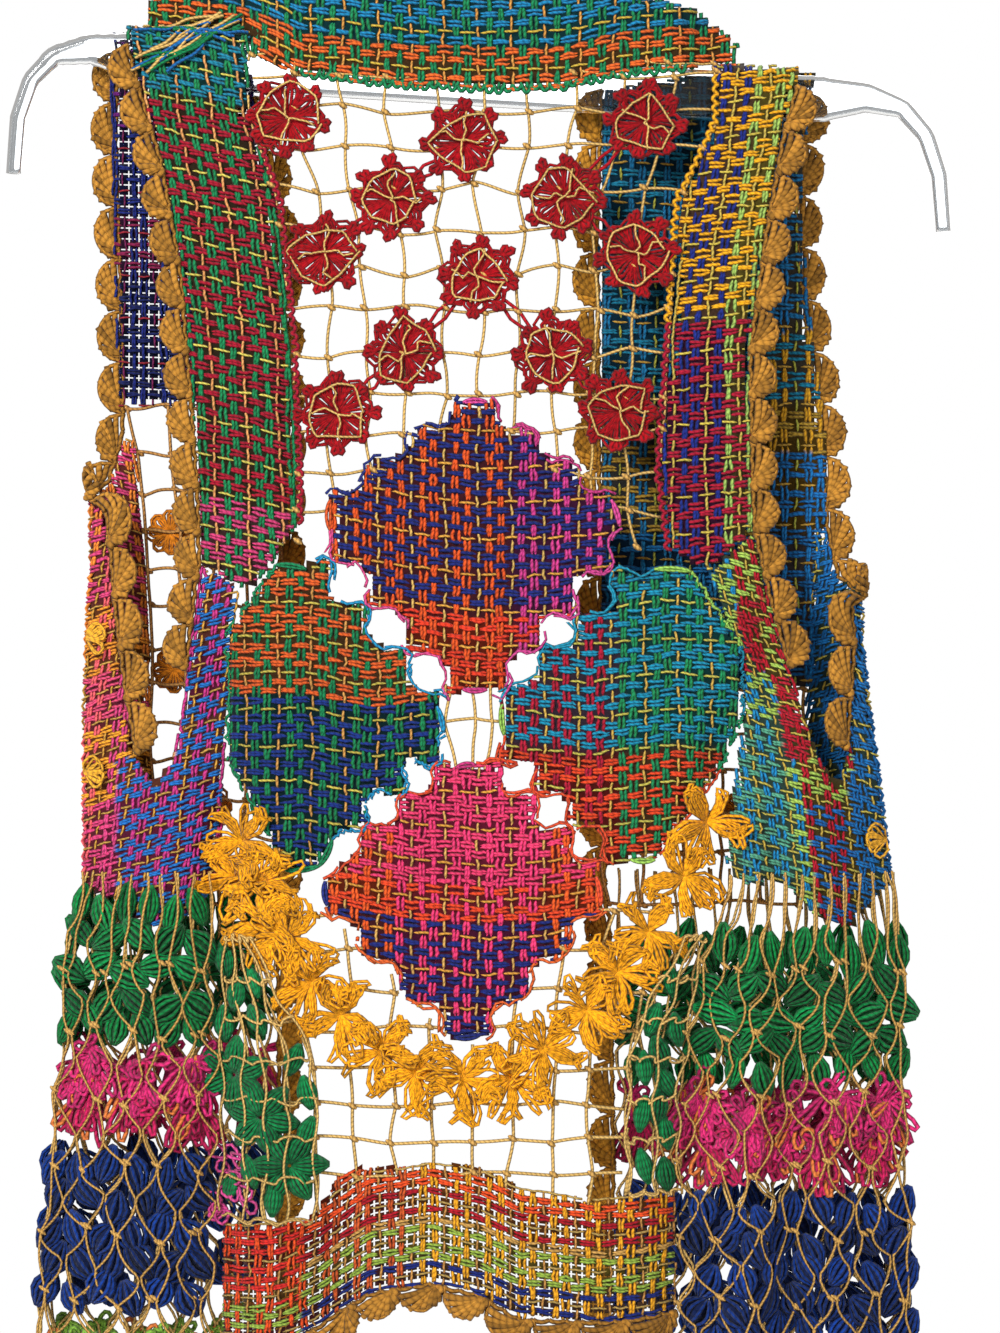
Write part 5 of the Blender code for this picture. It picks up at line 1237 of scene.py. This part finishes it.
def moulded_bar(steps=180, sides=24):
    """The bar: a round-ended oval carried along the tilted line, with ribs near its ends.

    A rib is RIB high, where sin(1.1 * the way along) is over 0.3.
    """
    rows = np.array(BAR_STATIONS)
    line = np.concatenate([rows[:0:-1, :2] * [-1, 1], rows[:, :2]])
    sizes = np.concatenate([rows[:0:-1, 2:], rows[:, 2:]])
    run = np.concatenate([[0.0], np.cumsum(np.linalg.norm(np.diff(line, axis=0), axis=1))])
    place = np.linspace(0.0, run[-1], steps)
    x, drop, height, depth = (np.interp(place, run, column) for column in (*line.T, *sizes.T))
    centre = np.stack([x, np.zeros(steps), -(drop + BAR_DROP + BAR_TILT * x)], axis=1)
    along = np.gradient(centre, axis=0)
    along /= np.linalg.norm(along, axis=1, keepdims=True)
    up = np.stack([-along[:, 2], np.zeros(steps), along[:, 0]], axis=1)
    turn = 2.0 * math.pi * (np.arange(sides) + 0.5) / sides
    rib = RIB * (np.sin(place * 1.1) > 0.3) * ((np.abs(x) > 150) & (np.abs(x) < 200))
    radius = (depth / 2 + rib)[:, None]
    lift = radius * np.cos(turn) + np.sign(np.cos(turn)) * np.maximum(height - depth, 0.0)[:, None] / 2
    ring = centre[:, None] + up[:, None] * lift[..., None]
    ring[..., 1] += radius * np.sin(turn)
    index = np.arange(steps * sides).reshape(steps, sides)
    after = np.roll(index, -1, axis=1)
    walls = np.stack([index[:-1], after[:-1], after[1:], index[1:]], axis=-1).reshape(-1, 4)
    corners = [[0, i + 1, i + 2, i + 3] for i in range(0, sides - 2, 2)]
    caps = np.concatenate([index[0][corners][:, ::-1], index[-1][corners]])
    faces = np.concatenate([walls, caps])
    return {"points": ring.reshape(-1, 3), "faces": faces, "shade": np.ones((steps * sides, 3)),
            "uv": np.zeros((len(faces), 4, 2))}


def tinted(tree, shader, share, first, second):
    """A base colour that goes from one grey to another by a share."""
    tint = tree.nodes.new("ShaderNodeMix")
    tint.data_type = "RGBA"
    tint.inputs["A"].default_value = (*first, 1.0)
    tint.inputs["B"].default_value = (*second, 1.0)
    tree.links.new(share, tint.inputs["Factor"])
    tree.links.new(tint.outputs["Result"], shader.inputs["Base Color"])


def clear_plastic():
    """Clear moulded plastic, slightly hazed and scuffed by fine noise."""
    finish, tree, shader = new_finish("clear_moulded_plastic", Transmission_Weight=1.0, IOR=1.42)
    haze = speckle(tree, 90.0, 4.0)
    tinted(tree, shader, haze, (0.88, 0.91, 0.94), (0.74, 0.79, 0.84))
    tree.links.new(maths(tree, "MULTIPLY_ADD", haze, 0.12, 0.03), shader.inputs["Roughness"])
    raised(tree, shader, haze, 0.0002, 0.15)
    return finish


def hook_steel():
    """Bright bent wire with fine drawing marks and dull patches."""
    finish, tree, shader = new_finish("bright_hook_wire", Metallic=1.0)
    marks = speckle(tree, 500.0, 5.0)
    tinted(tree, shader, marks, (0.50, 0.51, 0.53), (0.72, 0.73, 0.75))
    tree.links.new(maths(tree, "MULTIPLY_ADD", marks, 0.25, 0.12), shader.inputs["Roughness"])
    return finish


bar = made("hanger_bar_clear", [moulded_bar()], clear_plastic())
WIRE_RADIUS, HOOK_INSIDE = 1.7, 21.0
bend = np.radians(np.linspace(-50.0, 200.0, 60))
bend_radius = HOOK_INSIDE + WIRE_RADIUS
hook_x = np.concatenate([[0.0, 0.0, 0.4, 2.2, 7.0], bend_radius * np.cos(bend)])
hook_drop = np.concatenate([[77.2, 66.0, 61.0, 54.5, 47.0], HOOK_INSIDE - bend_radius * np.sin(bend)])
hook_points = np.stack([hook_x, np.zeros_like(hook_x), -hook_drop], axis=-1)[None]
hook_way = np.tile([0.0, -1.0, 0.0], (1, len(hook_x), 1))
hook = made("hanger_hook_wire", [spun((hook_points, hook_way), WIRE_RADIUS, [1, 1, 1], sides=12)],
            hook_steel())
worn("clear_plastic", bar)
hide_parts("hanger_bar")
worn("hook_steel", hook)
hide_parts("hanger_hook")

# Setting
# A pale floor well under the vest, soft light from both sides, and a level camera square to its
# back, which takes in 460 by 613 mm of it.
FLOOR_RADIUS, FLOOR_HEIGHT, FLOOR_SIDES = 1.1, -1.15, 64
floor_turn = np.linspace(0, 2 * math.pi, FLOOR_SIDES, endpoint=False)
floor_rim = FLOOR_RADIUS * np.stack([np.cos(floor_turn), np.sin(floor_turn), np.zeros(FLOOR_SIDES)], axis=1)
floor_mesh = bpy.data.meshes.new("floor")
floor_mesh.from_pydata((floor_rim + [0.0, 0.0, FLOOR_HEIGHT]).tolist(), [], [list(range(FLOOR_SIDES))])
floor_mesh.materials.append(new_finish("pale_floor", Base_Color=(0.85, 0.85, 0.84, 1.0), Roughness=0.7)[0])
floor = bpy.data.objects.new("floor", floor_mesh)
bpy.context.scene.collection.objects.link(floor)


def soft_light(name, place, aim, size, power):
    """A square area light at a place, turned to what it lights."""
    lamp = bpy.data.lights.new(name, "AREA")
    lamp.size = size
    lamp.energy = power
    light = bpy.data.objects.new(name, lamp)
    light.location = place
    way = np.array(aim) - np.array(place)
    light.rotation_euler = (
        math.atan2(math.hypot(way[0], way[1]), -way[2]), 0.0, math.atan2(way[0], -way[1]) + math.pi)
    bpy.context.scene.collection.objects.link(light)


soft_light("window_light", (-1.1, -1.7, 0.8), (0.0, 0.0, -0.35), 0.9, 62.0)
soft_light("fill_light", (1.5, -1.5, -0.1), (0.0, 0.0, -0.4), 1.6, 14.0)
soft_light("back_light", (0.3, 1.6, 0.4), (0.0, 0.0, -0.4), 1.6, 16.0)
world = bpy.data.worlds.new("pale_room")
world.use_nodes = True
room = world.node_tree
room.nodes["Background"].inputs["Color"].default_value = (1.0, 0.99, 0.97, 1.0)
room.nodes["Background"].inputs["Strength"].default_value = 0.42
seen = room.nodes.new("ShaderNodeBackground")
seen.inputs["Color"].default_value = (1.0, 1.0, 1.0, 1.0)
rays = room.nodes.new("ShaderNodeLightPath")
either = room.nodes.new("ShaderNodeMixShader")
room.links.new(rays.outputs["Is Camera Ray"], either.inputs["Fac"])
room.links.new(room.nodes["Background"].outputs["Background"], either.inputs[1])
room.links.new(seen.outputs["Background"], either.inputs[2])
room.links.new(either.outputs["Shader"], room.nodes["World Output"].inputs["Surface"])
bpy.context.scene.world = world
bpy.context.scene.view_settings.view_transform = "Standard"

VIEW_DISTANCE, VIEW_HEIGHT = 1.9, 0.613
camera_data = bpy.data.cameras.new("camera")
camera_data.sensor_width = 36.0
camera_data.lens = camera_data.sensor_width * VIEW_DISTANCE / VIEW_HEIGHT
camera = bpy.data.objects.new("camera", camera_data)
camera.location = (0.010, -VIEW_DISTANCE - 0.02, -0.3616)
camera.rotation_euler = (math.pi / 2, 0.0, 0.0)
bpy.context.scene.collection.objects.link(camera)
bpy.context.scene.camera = camera
